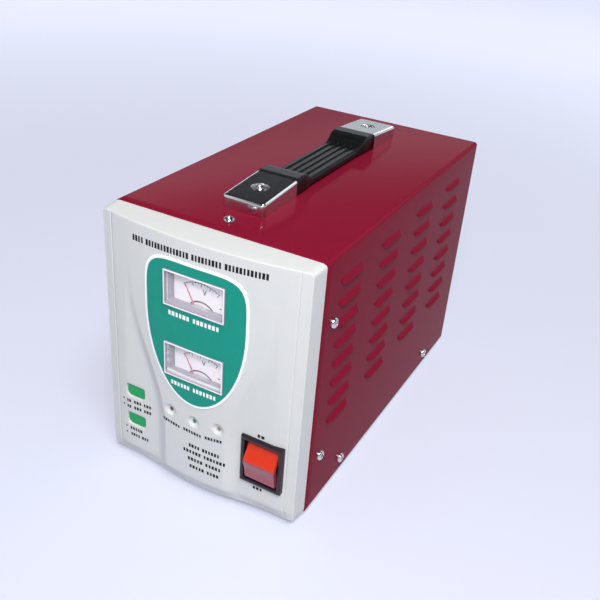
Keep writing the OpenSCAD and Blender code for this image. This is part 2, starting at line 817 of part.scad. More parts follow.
module front_bezel() {
    color([0.82, 0.83, 0.84])
    in_case()
    difference() {
        union() {
            difference() {
                intersection() {
                    arc_body(0);
                    drafted(0);
                }
                for (side = [-1, 1]) wing_room(side);
                intersection() {
                    translate([0, overrun, 0]) drafted(front_t);
                    arc_body(front_t);
                    union() {
                        push_y(front_t - wing_reach, overrun) square(3 * case_h, center = true);
                        push_y(-crown_reach, 0) crown_outline(shoulder_w * hollow_share);
                    }
                }
            }
            for (x = [-1, 1], z = [boss_low_z, boss_high_z])
                rod_y([x * boss_x, boss_front, z], boss_r, -boss_back - boss_front, $fn = small_fn);
            for (z = [-1, 1])
                rod_y([-button_x, front_t - wing_reach - overrun, button_mid_z + z * push_post_z],
                    push_post_r,
                    wing_reach - front_t + overrun + push_body_y + push_body_l, $fn = small_fn);
            for (x = [-1, 1])
                rod_y([x * lamp_post_x, front_t - crown_reach - overrun, lamp_z], lamp_post_r,
                    crown_reach - front_t + overrun + lamp_board_y, $fn = small_fn);
        }
        for (z = meter_heights)
            block([-meter_w / 2 - window_fit, -crown_reach - overrun, z - meter_h / 2 - window_fit],
                [meter_w / 2 + window_fit, 0, z + meter_h / 2 + window_fit]);
        for (place = lamp_places) {
            rod_y([place[0], -crown_reach - overrun, place[1]], lamp_hole_r, crown_reach, $fn = small_fn);
            translate([place[0], -arc_reach(place[0]) - overrun, place[1]])
                rotate([-90, 0, 0])
                    cylinder(r1 = dimple_r + overrun, r2 = lamp_r, h = dimple_deep + overrun,
                        $fn = small_fn);
        }
        for (z = button_heights)
            push_y(-wing_reach - overrun, 0)
                translate([-button_x, z]) button_outline(button_gap);
        block([switch_x - switch_body_w / 2 - seat, -wing_reach - overrun,
            switch_z - switch_body_h / 2 - seat],
            [switch_x + switch_body_w / 2 + seat, 0, switch_z + switch_body_h / 2 + seat]);
        push_y(-crown_reach - overrun, switch_seat_y)
            translate([switch_x, switch_z])
                round_rect(switch_w + 2 * seat, switch_h + 2 * seat, switch_corner);
        for (side = [-1, 1])
            translate([side * (case_w / 2 - strip_w) - groove_w / 2, groove_y - front_t, -overrun])
                cube([groove_w, front_t, case_h + 2 * overrun]);
        for (x = [-1, 1], z = [boss_low_z, boss_high_z])
            rod_y([x * boss_x, -boss_bore_l, z], m3_r + thread_fit, boss_bore_l, $fn = small_fn);
        for (z = [-1, 1])
            rod_y([-button_x, push_body_y, button_mid_z + z * push_post_z], pilot_r + thread_fit,
                push_body_l + overrun, $fn = small_fn);
        for (x = [-1, 1])
            rod_y([x * lamp_post_x, lamp_board_y - lamp_post_r, lamp_z], pilot_r + thread_fit,
                lamp_post_r + overrun, $fn = small_fn);
    }
}

// The coloured panel's outline is made of two half superellipses that meet at its widest line.
function super(a, power) = sign(a) * pow(abs(a), 2 / power);
function panel_points(grow) = [for (i = [0 : panel_cuts - 1])
    let (turn = 360 * i / panel_cuts,
        power = sin(turn) > 0 ? panel_top_power : panel_foot_power,
        rise = sin(turn) > 0 ? panel_up : panel_down)
    [(panel_half + grow) * super(cos(turn), power),
        panel_waist_z + (rise + grow) * super(sin(turn), power)]];

// A skin on the crown's arc.
module crown_skin(t) {
    intersection() {
        children();
        translate([0, crown_r - crown_reach, -overrun])
            difference() {
                cylinder(r = crown_r + t, h = case_h + overrun, $fn = 4 * $fn);
                translate([0, 0, -overrun]) cylinder(r = crown_r, h = case_h + 3 * overrun,
                    $fn = 4 * $fn);
            }
    }
}

module front_panel() {
    color([0.13, 0.6, 0.52])
    in_case()
    crown_skin(panel_t)
    difference() {
        push_y(-front_face - overrun, -edge_reach) polygon(panel_points(0));
        for (z = meter_heights)
            block([-meter_w / 2 - window_fit, -front_face - 2 * overrun, z - meter_h / 2 - window_fit],
                [meter_w / 2 + window_fit, 0, z + meter_h / 2 + window_fit]);
    }
}

module panel_border() {
    color([0.93, 0.95, 0.95])
    in_case()
    crown_skin(panel_t)
    push_y(-front_face - overrun, -edge_reach)
    difference() {
        polygon(panel_points(border_w));
        polygon(panel_points(0));
    }
}

// Meters: each is drawn about its window's centre, at the height z.

module meter_case(z) {
    color([0.72, 0.71, 0.78])
    in_case()
    translate([0, 0, z])
    difference() {
        union() {
            block([-meter_w / 2, -meter_face, -meter_h / 2], [meter_w / 2, -box_front, meter_h / 2]);
            block([-box_w / 2, -box_front, -box_down],
                [box_w / 2, dial_y + dial_t + movement_plate_t, box_up]);
        }
        block([-meter_w / 2 + tube_t, -meter_face - overrun, -meter_h / 2 + tube_t],
            [meter_w / 2 - tube_t, -box_front + box_face_t + overrun, meter_h / 2 - tube_t]);
        block([-box_w / 2 + box_t, -box_front + box_face_t, -box_down + box_t],
            [box_w / 2 - box_t, 0, box_up - box_t]);
    }
}

module meter_lens(z) {
    color([0.85, 0.9, 0.95, 0.3])
    in_case()
    block([-meter_w / 2 + tube_t, -meter_face + lens_drop, z - meter_h / 2 + tube_t],
        [meter_w / 2 - tube_t, -meter_face + lens_drop + lens_t, z + meter_h / 2 - tube_t]);
}

module meter_dial(z) {
    color([0.95, 0.93, 0.96])
    in_case()
    difference() {
        block([-box_w / 2 + box_t, dial_y, z - box_down + box_t],
            [box_w / 2 - box_t, dial_y + dial_t, z + box_up - box_t]);
        rod_y([0, dial_y - overrun, z - pivot_drop], dial_hole_r, dial_t + 2 * overrun, $fn = small_fn);
    }
}

module pivot_cover(z) {
    color([0.25, 0.23, 0.27])
    in_case()
    translate([0, 0, z - pivot_drop])
    difference() {
        union() {
            rod_y([0, pivot_cover_y, 0], pivot_cover_r, pivot_cover_t);
            for (side = [-1, 1])
                rod_y([side * pivot_cover_r * pivot_post_share, pivot_cover_y,
                    -pivot_cover_r * pivot_post_share],
                    pivot_post_r, dial_y - pivot_cover_y, $fn = small_fn);
        }
        rod_y([0, pivot_cover_y - overrun, 0], shaft_r + running, pivot_cover_t + 2 * overrun,
            $fn = small_fn);
        block([-pivot_cover_r - overrun, pivot_cover_y - overrun, -pivot_cover_r - overrun],
            [pivot_cover_r + overrun, pivot_cover_y + pivot_cover_t, -pivot_cover_r * pivot_low_share]);
    }
}

module needle(z) {
    color([0.75, 0.12, 0.2])
    in_case()
    translate([0, 0, z - pivot_drop]) {
        rod_y([0, pivot_cover_y + running, 0], shaft_r,
            dial_y + dial_t + movement_plate_t - pivot_cover_y - 2 * running, $fn = small_fn);
        rod_y([0, needle_y - hub_t / 2, 0], hub_r, hub_t, $fn = small_fn);
        rotate([0, -needle_zero, 0])
            block([-needle_w / 2, needle_y - needle_t / 2, 0],
                [needle_w / 2, needle_y + needle_t / 2, needle_l]);
    }
}

module meter_movement(z) {
    plate_y = dial_y + dial_t;
    color([0.35, 0.33, 0.3])
    in_case()
    difference() {
        union() {
            block([-box_w / 2 + box_t, plate_y, z - box_down + box_t],
                [box_w / 2 - box_t, plate_y + movement_plate_t, z + box_up - box_t]);
            block([-coil_w / 2, plate_y, z - pivot_drop - coil_w / 4],
                [coil_w / 2, plate_y + coil_l, z - pivot_drop + coil_w * 3 / 4]);
        }
        rod_y([0, plate_y - overrun, z - pivot_drop], shaft_r + running,
            movement_plate_t + overrun + running, $fn = small_fn);
    }
}

// Power switch

module switch_housing() {
    color([0.13, 0.1, 0.13])
    in_case()
    translate([switch_x, 0, switch_z])
    difference() {
        union() {
            push_y(switch_face_y, switch_seat_y) round_rect(switch_w, switch_h, switch_corner);
            block([-switch_body_w / 2, switch_seat_y, -switch_body_h / 2],
                [switch_body_w / 2, switch_face_y + switch_body_l, switch_body_h / 2]);
        }
        block([-rocker_room_w / 2, switch_face_y - overrun, -switch_h / 2 + switch_rim],
            [rocker_room_w / 2, switch_face_y + switch_cavity_l, switch_h / 2 - switch_rim]);
        rod_x([-switch_body_w / 2 + switch_wall / 2, rocker_y, 0], rocker_pin_r + running,
            switch_body_w - switch_wall, $fn = small_fn);
        for (x = [-1, 1], z = [-1, 1])
            block([x * blade_x - blade_t / 2, switch_face_y + switch_body_l - blade_l / 3,
                z * blade_z - blade_w / 2],
                [x * blade_x + blade_t / 2, switch_face_y + switch_body_l + overrun,
                    z * blade_z + blade_w / 2]);
    }
}

rocker_room_w = switch_body_w - 2 * switch_wall;
rocker_w = rocker_room_w - 2 * rocker_side_gap;

module switch_terminals() {
    color([0.8, 0.68, 0.35])
    in_case()
    translate([switch_x, 0, switch_z])
    for (x = [-1, 1], z = [-1, 1])
        block([x * blade_x - blade_t / 2, switch_face_y + switch_body_l - blade_l / 3,
            z * blade_z - blade_w / 2],
            [x * blade_x + blade_t / 2, switch_face_y + switch_body_l + blade_l,
                z * blade_z + blade_w / 2]);
}

// The rocker's side view, about its pivot: a roof in front and a round web behind.
module rocker_side() {
    slope = tan(rocker_roof) * rocker_half;
    intersection() {
        circle(r = rocker_end_r);
        union() {
            polygon([[-rocker_crest, 0], [-rocker_crest + slope, rocker_half],
                [-rocker_crest + slope, rocker_end_r],
                [-rocker_crest + slope + rocker_pin_r, rocker_end_r], [-rocker_pin_r, 0],
                [-rocker_crest + slope + rocker_pin_r, -rocker_end_r],
                    [-rocker_crest + slope, -rocker_end_r],
                [-rocker_crest + slope, -rocker_half]]);
            circle(r = rocker_web_r, $fn = small_fn);
        }
    }
}

module power_rocker() {
    color([0.82, 0.22, 0.15])
    in_case()
    translate([switch_x, rocker_y, switch_z])
    rotate([-rocker_tilt, 0, 0]) {
        translate([-rocker_w / 2, 0, 0])
            rotate([90, 0, 90]) linear_extrude(height = rocker_w) rocker_side();
        rod_x([-rocker_w / 2 - rocker_pin_l, 0, 0], rocker_pin_r, rocker_w + 2 * rocker_pin_l,
            $fn = small_fn);
    }
}

// Push buttons: each is drawn at the height z.

module push_button(z) {
    rim_y = button_back + seat;
    color([0.1, 0.6, 0.36])
    in_case()
    translate([-button_x, 0, z]) {
        push_y(button_sink - wing_reach, rim_y) button_outline(0);
        push_y(rim_y, rim_y + button_rim_t) button_outline(button_rim);
        rod_y([0, rim_y, 0], button_stem_r, push_body_y + stem_in - rim_y, $fn = small_fn);
    }
}

module button_switches() {
    color([0.2, 0.22, 0.26])
    in_case()
    for (z = button_heights)
        difference() {
            block([-button_x - push_body_w / 2, push_body_y, z - push_body_w / 2],
                [-button_x + push_body_w / 2, push_body_y + push_body_l, z + push_body_w / 2]);
            rod_y([-button_x, push_body_y - overrun, z], button_stem_r + running, push_body_l,
                $fn = small_fn);
        }
}

module button_board() {
    color([0.2, 0.45, 0.25])
    in_case()
    difference() {
        block([-button_x - push_board_w / 2, push_body_y + push_body_l, button_mid_z - push_board_h / 2],
            [-button_x + push_board_w / 2, push_body_y + push_body_l + board_t,
                button_mid_z + push_board_h / 2]);
        for (z = [-1, 1])
            rod_y([-button_x, push_body_y + push_body_l - overrun, button_mid_z + z * push_post_z],
                pilot_r + 2 * thread_fit, board_t + 2 * overrun, $fn = small_fn);
    }
}

// Indicator lamps: i is -1, 0 or 1 from left to right.

module lamp(i, tint) {
    front = -arc_reach(i * lamp_pitch) + dimple_deep - lamp_proud;
    color(tint)
    in_case()
    translate([i * lamp_pitch, 0, lamp_z + abs(i) * lamp_rise]) {
        translate([0, front + lamp_r, 0]) sphere(r = lamp_r, $fn = small_fn);
        rod_y([0, front + lamp_r, 0], lamp_r, lamp_board_y - front - lamp_r, $fn = small_fn);
        rod_y([0, lamp_board_y - lamp_flange_t, 0], lamp_flange_r, lamp_flange_t, $fn = small_fn);
    }
}

module lamp_board() {
    color([0.2, 0.45, 0.25])
    in_case()
    difference() {
        block([-lamp_board_w / 2, lamp_board_y, lamp_z - lamp_board_h / 2],
            [lamp_board_w / 2, lamp_board_y + board_t, lamp_z + lamp_board_h / 2]);
        for (x = [-1, 1])
            rod_y([x * lamp_post_x, lamp_board_y - overrun, lamp_z], pilot_r + 2 * thread_fit,
                board_t + 2 * overrun, $fn = small_fn);
    }
}

// Carrying handle: drawn for its front end, and mirrored for its rear end.

module handle_end(rear) {
    translate([0, rear ? handle_start + handle_end : 0, case_h]) mirror([0, rear ? 1 : 0, 0])
        translate([0, handle_start, 0]) children();
}

// Pushes a side view in y and z along x, over the width w.
module push_x(w) {
    translate([-w / 2, 0, 0]) rotate([90, 0, 90]) linear_extrude(height = w) children();
}

module cap_side(inset) {
    polygon([[inset, -overrun * inset], [inset, cap_h - cap_nose_drop - inset], [cap_l, cap_h - inset],
        [cap_l + overrun * inset, cap_h - inset], [cap_l + overrun * inset, -overrun * inset]]);
}

module handle_cap(rear) {
    color([0.75, 0.76, 0.78])
    in_case()
    handle_end(rear)
    difference() {
        intersection() {
            push_x(cap_w) cap_side(0);
            translate([0, cap_l / 2 + cap_corner, 0])
                linear_extrude(height = cap_h) round_rect(cap_w, cap_l + 2 * cap_corner, cap_corner);
            union() {
                difference() {
                    push_x(cap_w) cap_side(0);
                    push_x(cap_w - 2 * cap_t) cap_side(cap_t);
                }
                rod_z([0, cap_inset, cap_h - cap_nose_drop - dish_deep - cap_t], dish_r + cap_t,
                    cap_h);
            }
        }
        translate([0, cap_inset, cap_h - cap_nose_drop - dish_deep])
            cylinder(r1 = dish_low_r, r2 = dish_r, h = dish_deep, $fn = small_fn);
        rod_z([0, cap_inset, cap_h - cap_nose_drop - overrun / 100], dish_r, cap_nose_drop + overrun,
            $fn = small_fn);
        translate([0, cap_inset, -overrun]) cylinder(r = m4_r + seat, h = cap_h, $fn = small_fn);
    }
}

module strap_ribs(y0, y1) {
    pitch = (strap_w - rib_w) / rib_count;
    for (i = [0 : rib_count])
        block([-strap_w / 2 + i * pitch, y0, strap_gap + strap_t - overrun],
            [-strap_w / 2 + i * pitch + rib_w, y1, strap_gap + strap_t + rib_t]);
}

module strap_end(rear) {
    color([0.07, 0.08, 0.08])
    in_case()
    handle_end(rear)
    difference() {
        union() {
            block([-tab_w / 2, tab_start, tab_gap], [tab_w / 2, cap_l + shoulder_start, tab_gap + tab_t]);
            push_x(strap_w + cap_t)
                polygon([[cap_l + shoulder_start, shoulder_low],
                    [cap_l + shoulder_start, shoulder_h - cap_t],
                    [cap_l + shoulder_start + cap_t, shoulder_h], [cap_l + shoulder_l / 2, shoulder_h],
                    [cap_l + shoulder_l, strap_gap + strap_t], [cap_l + shoulder_l, strap_gap]]);
            block([-strap_w / 2, cap_l + shoulder_l - overrun, strap_gap],
                [strap_w / 2, cap_l + flex_l, strap_gap + strap_t]);
            strap_ribs(cap_l + shoulder_l + cap_t, cap_l + flex_l);
        }
        for (y = [-1, 1])
            rod_z([0, cap_inset + tab_slot_l / 4 * (1 + y), 0], tab_slot_r, shoulder_h, $fn = small_fn);
        block([-tab_slot_r, cap_inset, 0], [tab_slot_r, cap_inset + tab_slot_l / 2, shoulder_h]);
    }
}

module strap_grip() {
    color([0.07, 0.08, 0.08])
    in_case()
    translate([0, 0, case_h]) {
        block([-strap_w / 2, handle_start + cap_l + flex_l, strap_gap],
            [strap_w / 2, handle_end - cap_l - flex_l, strap_gap + strap_t]);
        strap_ribs(handle_start + cap_l + flex_l, handle_end - cap_l - flex_l);
    }
}

module handle_screws() {
    color([0.8, 0.8, 0.82])
    in_case()
    each_handle_screw()
        translate([0, 0, cap_h - cap_nose_drop - dish_deep])
            pan_screw(m4_r, m4_head_r, m4_head_h, handle_screw_l);
}

module handle_nuts() {
    color([0.7, 0.7, 0.72])
    in_case()
    each_handle_screw()
        translate([0, 0, -cover_t - washer_t - nut_t])
            difference() {
                union() {
                    cylinder(r = nut_r, h = nut_t, $fn = 6);
                    translate([0, 0, nut_t]) cylinder(r = washer_r, h = washer_t, $fn = small_fn);
                }
                translate([0, 0, -overrun]) cylinder(r = m4_r + thread_fit,
                    h = nut_t + washer_t + 2 * overrun, $fn = small_fn);
            }
}

// Screws and feet

cover_screw_l = 6;
frame_screw_l = 3;
bezel_screw_l = 7;

module cover_screws() {
    color([0.8, 0.8, 0.82])
    in_case()
    each_cover_screw() pan_screw(m3_r, m3_head_r, m3_head_h, cover_screw_l);
}

module frame_screws() {
    color([0.8, 0.8, 0.82])
    in_case()
    for (place = frame_screw_places)
        translate([place[0], place[1], 0]) rotate([180, 0, 0])
            pan_screw(m3_r, m3_head_r, m3_head_h, frame_screw_l);
}

module bezel_screws() {
    color([0.8, 0.8, 0.82])
    in_case()
    for (x = [-1, 1], z = [boss_low_z, boss_high_z])
        translate([x * boss_x, base_t, z]) rotate([-90, 0, 0])
            pan_screw(m3_r, m3_head_r, m3_head_h, bezel_screw_l);
}

module board_screws() {
    color([0.8, 0.8, 0.82])
    in_case() {
        for (z = [-1, 1])
            translate([-button_x, push_body_y + push_body_l + board_t, button_mid_z + z * push_post_z])
                rotate([-90, 0, 0]) pan_screw(pilot_r, small_screw_head_r, small_screw_head_h,
                    push_body_l / 2);
        for (x = [-1, 1])
            translate([x * lamp_post_x, lamp_board_y + board_t, lamp_z])
                rotate([-90, 0, 0]) pan_screw(pilot_r, small_screw_head_r, small_screw_head_h,
                    board_t + lamp_post_r / 2);
        for (place = board_post_places)
            translate([place[0], place[1], main_board_z + board_t])
                pan_screw(m3_r, m3_head_r, m3_head_h, main_board_z - 2 * base_t);
    }
}

module rubber_feet() {
    color([0.08, 0.08, 0.09])
    in_case()
    for (place = foot_places)
        translate([place[0], place[1], -foot_h])
            difference() {
                cylinder(r1 = foot_r, r2 = foot_r * foot_top_share, h = foot_h);
                translate([0, 0, -overrun])
                    cylinder(r = foot_r * foot_recess_share, h = foot_h / 2 + overrun, $fn = small_fn);
                cylinder(r = m3_r + seat, h = foot_h + overrun, $fn = small_fn);
            }
}

module foot_screws() {
    color([0.8, 0.8, 0.82])
    in_case()
    for (place = foot_places)
        translate([place[0], place[1], -foot_h / 2]) rotate([180, 0, 0])
            pan_screw(m3_r, m3_head_r, m3_head_h, foot_screw_l);
}

// Transformer

module ring_outline(r0, r1, h, corner) {
    translate([(r0 + r1) / 2, h / 2]) round_rect(r1 - r0, h, corner);
}

module transformer_ring() {
    color([0.85, 0.75, 0.35])
    in_case()
    translate([0, ring_y, base_t + pad_t])
        rotate_extrude() ring_outline(ring_hole_r, ring_r, ring_h, ring_corner);
}

module ring_pads() {
    color([0.1, 0.1, 0.1])
    in_case()
    for (z = [base_t, base_t + pad_t + ring_h])
        translate([0, ring_y, z])
            difference() {
                cylinder(r = plate_r + pad_t, h = pad_t);
                translate([0, 0, -overrun]) cylinder(r = ring_hole_r, h = pad_t + 2 * overrun);
            }
}

// A dished plate whose middle reaches down into the ring's hole.
module ring_dish() {
    color([0.7, 0.7, 0.72])
    in_case()
    translate([0, ring_y, base_t + 2 * pad_t + ring_h])
        rotate_extrude()
            polygon([[bolt_r + bolt_fit, -dish_well], [ring_hole_r - 2 * dish_t, -dish_well],
                [ring_hole_r - dish_t, 0], [plate_r, 0], [plate_r, dish_t],
                    [ring_hole_r - 2 * dish_t, dish_t],
                [ring_hole_r - 3 * dish_t, -dish_well + dish_t],
                    [bolt_r + bolt_fit, -dish_well + dish_t]]);
}

module ring_bolt() {
    top = base_t + 2 * pad_t + ring_h - dish_well + dish_t;
    color([0.75, 0.75, 0.77])
    in_case()
    translate([0, ring_y, 0]) {
        translate([0, 0, -bolt_head_h]) cylinder(r = bolt_head_r, h = bolt_head_h, $fn = 6);
        cylinder(r = bolt_r, h = top + big_nut_h + pad_t, $fn = small_fn);
        translate([0, 0, top]) cylinder(r = bolt_head_r, h = big_nut_h, $fn = 6);
    }
}

// Control board

module control_board() {
    color([0.18, 0.42, 0.24])
    in_case()
    difference() {
        block([-main_board_w / 2, main_board_y, main_board_z],
            [main_board_w / 2, main_board_y + main_board_l, main_board_z + board_t]);
        for (place = board_post_places)
            rod_z([place[0], place[1], main_board_z - overrun], m3_hole_r, board_t + 2 * overrun,
                $fn = small_fn);
    }
}

module board_posts() {
    color([0.8, 0.68, 0.35])
    in_case()
    for (place = board_post_places)
        difference() {
            union() {
                rod_z([place[0], place[1], base_t], post_r, main_board_z - base_t, $fn = 6);
                rod_z([place[0], place[1], seat], m3_hole_r - thread_fit, main_board_z / 2,
                    $fn = small_fn);
            }
            rod_z([place[0], place[1], base_t], m3_r + thread_fit, main_board_z, $fn = small_fn);
        }
}

relay_y = main_board_y + main_board_l - relay_l - post_r * 3;

module relays() {
    color([0.15, 0.3, 0.6])
    in_case()
    for (i = [0 : relay_count - 1])
        translate([(i - (relay_count - 1) / 2) * relay_pitch - relay_w / 2, relay_y - relay_l,
            main_board_z + board_t])
            cube([relay_w, relay_l, relay_h]);
}

module board_capacitors() {
    color([0.12, 0.14, 0.3])
    in_case() {
        for (i = [-1, 1])
            rod_z([i * cap_big_r * 3, relay_y + cap_big_r + post_r, main_board_z + board_t], cap_big_r,
                cap_big_h);
        rod_z([0, relay_y + cap_small_r + post_r, main_board_z + board_t], cap_small_r, cap_small_h);
    }
}

module heat_sink() {
    color([0.75, 0.76, 0.78])
    in_case()
    translate([-main_board_w / 2 + sink_fin + post_r * 3, relay_y + post_r, main_board_z + board_t]) {
        cube([sink_t, cap_big_r * 2, sink_h]);
        for (i = [0 : sink_fins - 1])
            translate([-sink_fin, i * (cap_big_r * 2 - sink_t) / (sink_fins - 1), 0])
                cube([sink_fin, sink_t / 2, sink_h]);
    }
}

module terminal_strip() {
    way = strip_l / strip_ways;
    color([0.1, 0.1, 0.11])
    in_case()
    translate([-strip_l / 2, strip_y, base_t])
    difference() {
        cube([strip_l, strip_deep, strip_h]);
        for (i = [0 : strip_ways - 1])
            translate([i * way + base_t, -overrun, strip_h / 2])
                cube([way - 2 * base_t, strip_deep + 2 * overrun, strip_h]);
    }
}

// Rear panel's fittings

module output_socket(side) {
    outer = panel_y + base_t;
    color([0.12, 0.12, 0.13])
    in_case()
    translate([side * socket_x, 0, socket_z])
    difference() {
        union() {
            push_y(outer, outer + socket_face_t) round_rect(socket_w, socket_h, socket_corner);
            block([-socket_body_w / 2, outer + socket_face_t - socket_body_l, -socket_body_h / 2],
                [socket_body_w / 2, outer, socket_body_h / 2]);
        }
        for (x = [-1, 1])
            block([x * live_slot_x - live_slot_w / 2, outer + socket_face_t - slot_deep,
                live_slot_z - live_slot_h / 2],
                [x * live_slot_x + live_slot_w / 2, outer + socket_face_t + overrun,
                    live_slot_z + live_slot_h / 2]);
        block([-earth_slot_w / 2, outer + socket_face_t - slot_deep, earth_slot_z - earth_slot_h / 2],
            [earth_slot_w / 2, outer + socket_face_t + overrun, earth_slot_z + earth_slot_h / 2]);
    }
}

module breaker_body() {
    outer = panel_y + base_t;
    color([0.1, 0.1, 0.11])
    in_case()
    translate([breaker_x, 0, breaker_z])
    difference() {
        union() {
            block([-breaker_body_w / 2, panel_y - breaker_body_l, -breaker_body_h / 2],
                [breaker_body_w / 2, panel_y, breaker_body_h / 2]);
            rod_y([0, panel_y - overrun, 0], breaker_bush_r, base_t + overrun + breaker_bush_l);
            rod_y([0, outer, 0], breaker_nut_r, breaker_nut_h, $fn = 6);
        }
        rod_y([0, outer + breaker_bush_l - breaker_button_l, 0], breaker_button_r + running,
            breaker_button_l + overrun, $fn = small_fn);
    }
}

module breaker_button() {
    outer = panel_y + base_t;
    color([0.7, 0.1, 0.08])
    in_case()
    rod_y([breaker_x, outer + breaker_bush_l - breaker_button_l + seat, breaker_z], breaker_button_r,
        breaker_button_l, $fn = small_fn);
}

module cord_gland() {
    outer = panel_y + base_t;
    color([0.08, 0.08, 0.09])
    in_case()
    translate([gland_x, 0, gland_z])
    difference() {
        union() {
            rod_y([0, outer, 0], gland_r, gland_flange_t);
            translate([0, outer + gland_flange_t, 0]) rotate([-90, 0, 0])
                cylinder(r1 = gland_neck_r + base_t, r2 = gland_tip_r,
                    h = gland_out + case_l - outer - gland_flange_t);
            rod_y([0, panel_y - gland_in, 0], gland_neck_r, gland_in + base_t);
            rod_y([0, panel_y - gland_lip_t, 0], gland_lip_r, gland_lip_t);
        }
        rod_y([0, panel_y - gland_in - overrun, 0], cord_r,
            gland_in + case_l + gland_out - panel_y + 2 * overrun);
    }
}

base_chassis();
cover();
front_plate();
rear_panel();
front_bezel();
front_panel();
panel_border();
meter_case(meter_heights[0]);  // upper_meter_case
meter_case(meter_heights[1]);  // lower_meter_case
meter_lens(meter_heights[0]);  // upper_meter_lens
meter_lens(meter_heights[1]);  // lower_meter_lens
meter_dial(meter_heights[0]);  // upper_meter_dial
meter_dial(meter_heights[1]);  // lower_meter_dial
pivot_cover(meter_heights[0]);  // upper_pivot_cover
pivot_cover(meter_heights[1]);  // lower_pivot_cover
needle(meter_heights[0]);  // upper_needle
needle(meter_heights[1]);  // lower_needle
meter_movement(meter_heights[0]);  // upper_meter_movement
meter_movement(meter_heights[1]);  // lower_meter_movement
switch_housing();
switch_terminals();
power_rocker();
push_button(button_heights[0]);  // range_button
push_button(button_heights[1]);  // delay_button
button_switches();
button_board();
lamp(-1, [0.55, 0.1, 0.1]);  // red_lamp
lamp(0, [0.1, 0.4, 0.25]);  // green_lamp
lamp(1, [0.7, 0.65, 0.35]);  // yellow_lamp
lamp_board();
strap_grip();
strap_end(false);  // strap_front_end
strap_end(true);  // strap_rear_end
handle_cap(false);  // front_handle_cap
handle_cap(true);  // rear_handle_cap
handle_screws();
handle_nuts();
cover_screws();
frame_screws();
bezel_screws();
board_screws();
rubber_feet();
foot_screws();
transformer_ring();
ring_pads();
ring_dish();
ring_bolt();
control_board();
board_posts();
relays();
board_capacitors();
heat_sink();
terminal_strip();
output_socket(1);  // left_socket
output_socket(-1);  // right_socket
breaker_body();
breaker_button();
cord_gland();
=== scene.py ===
import math

import bmesh
import bpy
import numpy as np
from mathutils import Matrix, Vector


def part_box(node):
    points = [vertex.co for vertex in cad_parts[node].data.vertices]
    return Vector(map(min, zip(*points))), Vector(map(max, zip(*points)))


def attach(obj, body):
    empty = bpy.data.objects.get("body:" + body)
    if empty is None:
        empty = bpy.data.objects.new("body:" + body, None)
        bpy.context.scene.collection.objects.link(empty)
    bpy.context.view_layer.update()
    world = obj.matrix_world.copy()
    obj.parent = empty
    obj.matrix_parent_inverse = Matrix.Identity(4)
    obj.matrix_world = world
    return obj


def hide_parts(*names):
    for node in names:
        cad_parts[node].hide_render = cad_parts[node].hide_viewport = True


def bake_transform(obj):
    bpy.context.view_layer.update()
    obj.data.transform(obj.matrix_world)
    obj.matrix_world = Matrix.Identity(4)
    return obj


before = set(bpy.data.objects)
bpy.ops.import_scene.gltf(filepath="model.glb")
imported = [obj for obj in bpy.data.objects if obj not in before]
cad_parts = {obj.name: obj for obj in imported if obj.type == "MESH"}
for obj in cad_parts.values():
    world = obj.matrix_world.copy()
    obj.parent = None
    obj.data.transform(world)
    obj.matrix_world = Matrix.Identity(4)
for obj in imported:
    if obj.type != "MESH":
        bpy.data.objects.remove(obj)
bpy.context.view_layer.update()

# Sizes are in millimetres on the case's own axes: y is 0 at the case's front edge and z is 0 at its foot.
mm = 0.001
case = {"w": 125.0, "h": 155.0, "l": 222.0, "bend": 2.2, "sheet": 1.0, "seam": 0.3}
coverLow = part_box("cover")[0] / mm
caseOrigin = np.array([0.0, coverLow.y - case["seam"], coverLow.z])


# Meshes

def place(points):
    # Case millimetres to metres in the part's frame.
    return (np.asarray(points, float).reshape(-1, 3) + caseOrigin) * mm


def addObject(name, data):
    obj = bpy.data.objects.new(name, data)
    bpy.context.scene.collection.objects.link(obj)
    return obj


def addPiece(name, points, faces, look, slot, body="case", nodes=(), sharp=None, merge=0.0, turn=True, wall=0.0):
    # sharp is the angle past which an edge stays hard, or None for flat faces. wall thickens an open skin.
    mesh = bpy.data.meshes.new(name)
    mesh.from_pydata(place(points).tolist(), [], [[int(i) for i in f] for f in faces])
    bm = bmesh.new()
    bm.from_mesh(mesh)
    if merge:
        bmesh.ops.remove_doubles(bm, verts=bm.verts, dist=merge * mm)
    if turn:
        bmesh.ops.recalc_face_normals(bm, faces=bm.faces)
    bm.edges.index_update()
    rim = [e.index for e in bm.edges if e.is_boundary]
    bm.to_mesh(mesh)
    bm.free()
    mesh.polygons.foreach_set("use_smooth", [sharp is not None] * len(mesh.polygons))
    if sharp is not None:
        mesh.set_sharp_from_angle(angle=math.radians(sharp))
        for i in rim:
            mesh.edges[i].use_edge_sharp = True
    mesh.materials.append(look)
    obj = addObject(name, mesh)
    if body:
        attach(obj, body)
    if nodes:
        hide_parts(*nodes)
    if wall:
        shell = obj.modifiers.new("wall", "SOLIDIFY")
        shell.thickness = wall * mm
        shell.offset = -1
    return obj


def secondLook(obj, look, chosen):
    # Gives a second finish to the chosen faces.
    obj.data.materials.append(look)
    obj.data.polygons.foreach_set("material_index", chosen.astype(int))


def gridFaces(rows, cols, keep=None, wrap=False):
    # Quads of a grid of points. keep masks its cells, and wrap joins the last column to the first.
    i, k = np.meshgrid(np.arange(rows - 1), np.arange(cols if wrap else cols - 1), indexing="ij")
    if keep is not None:
        i, k = i[keep], k[keep]
    i, k = i.ravel(), k.ravel()
    n = (k + 1) % cols
    return np.stack([i * cols + k, i * cols + n, (i + 1) * cols + n, (i + 1) * cols + k], 1)


def join(parts):
    # Several pairs of points and faces as one pair.
    points, faces, start = [], [], 0
    for p, f in parts:
        p = np.asarray(p, float).reshape(-1, 3)
        points.append(p)
        faces += [[i + start for i in face] for face in f]
        start += len(p)
    return np.concatenate(points), faces


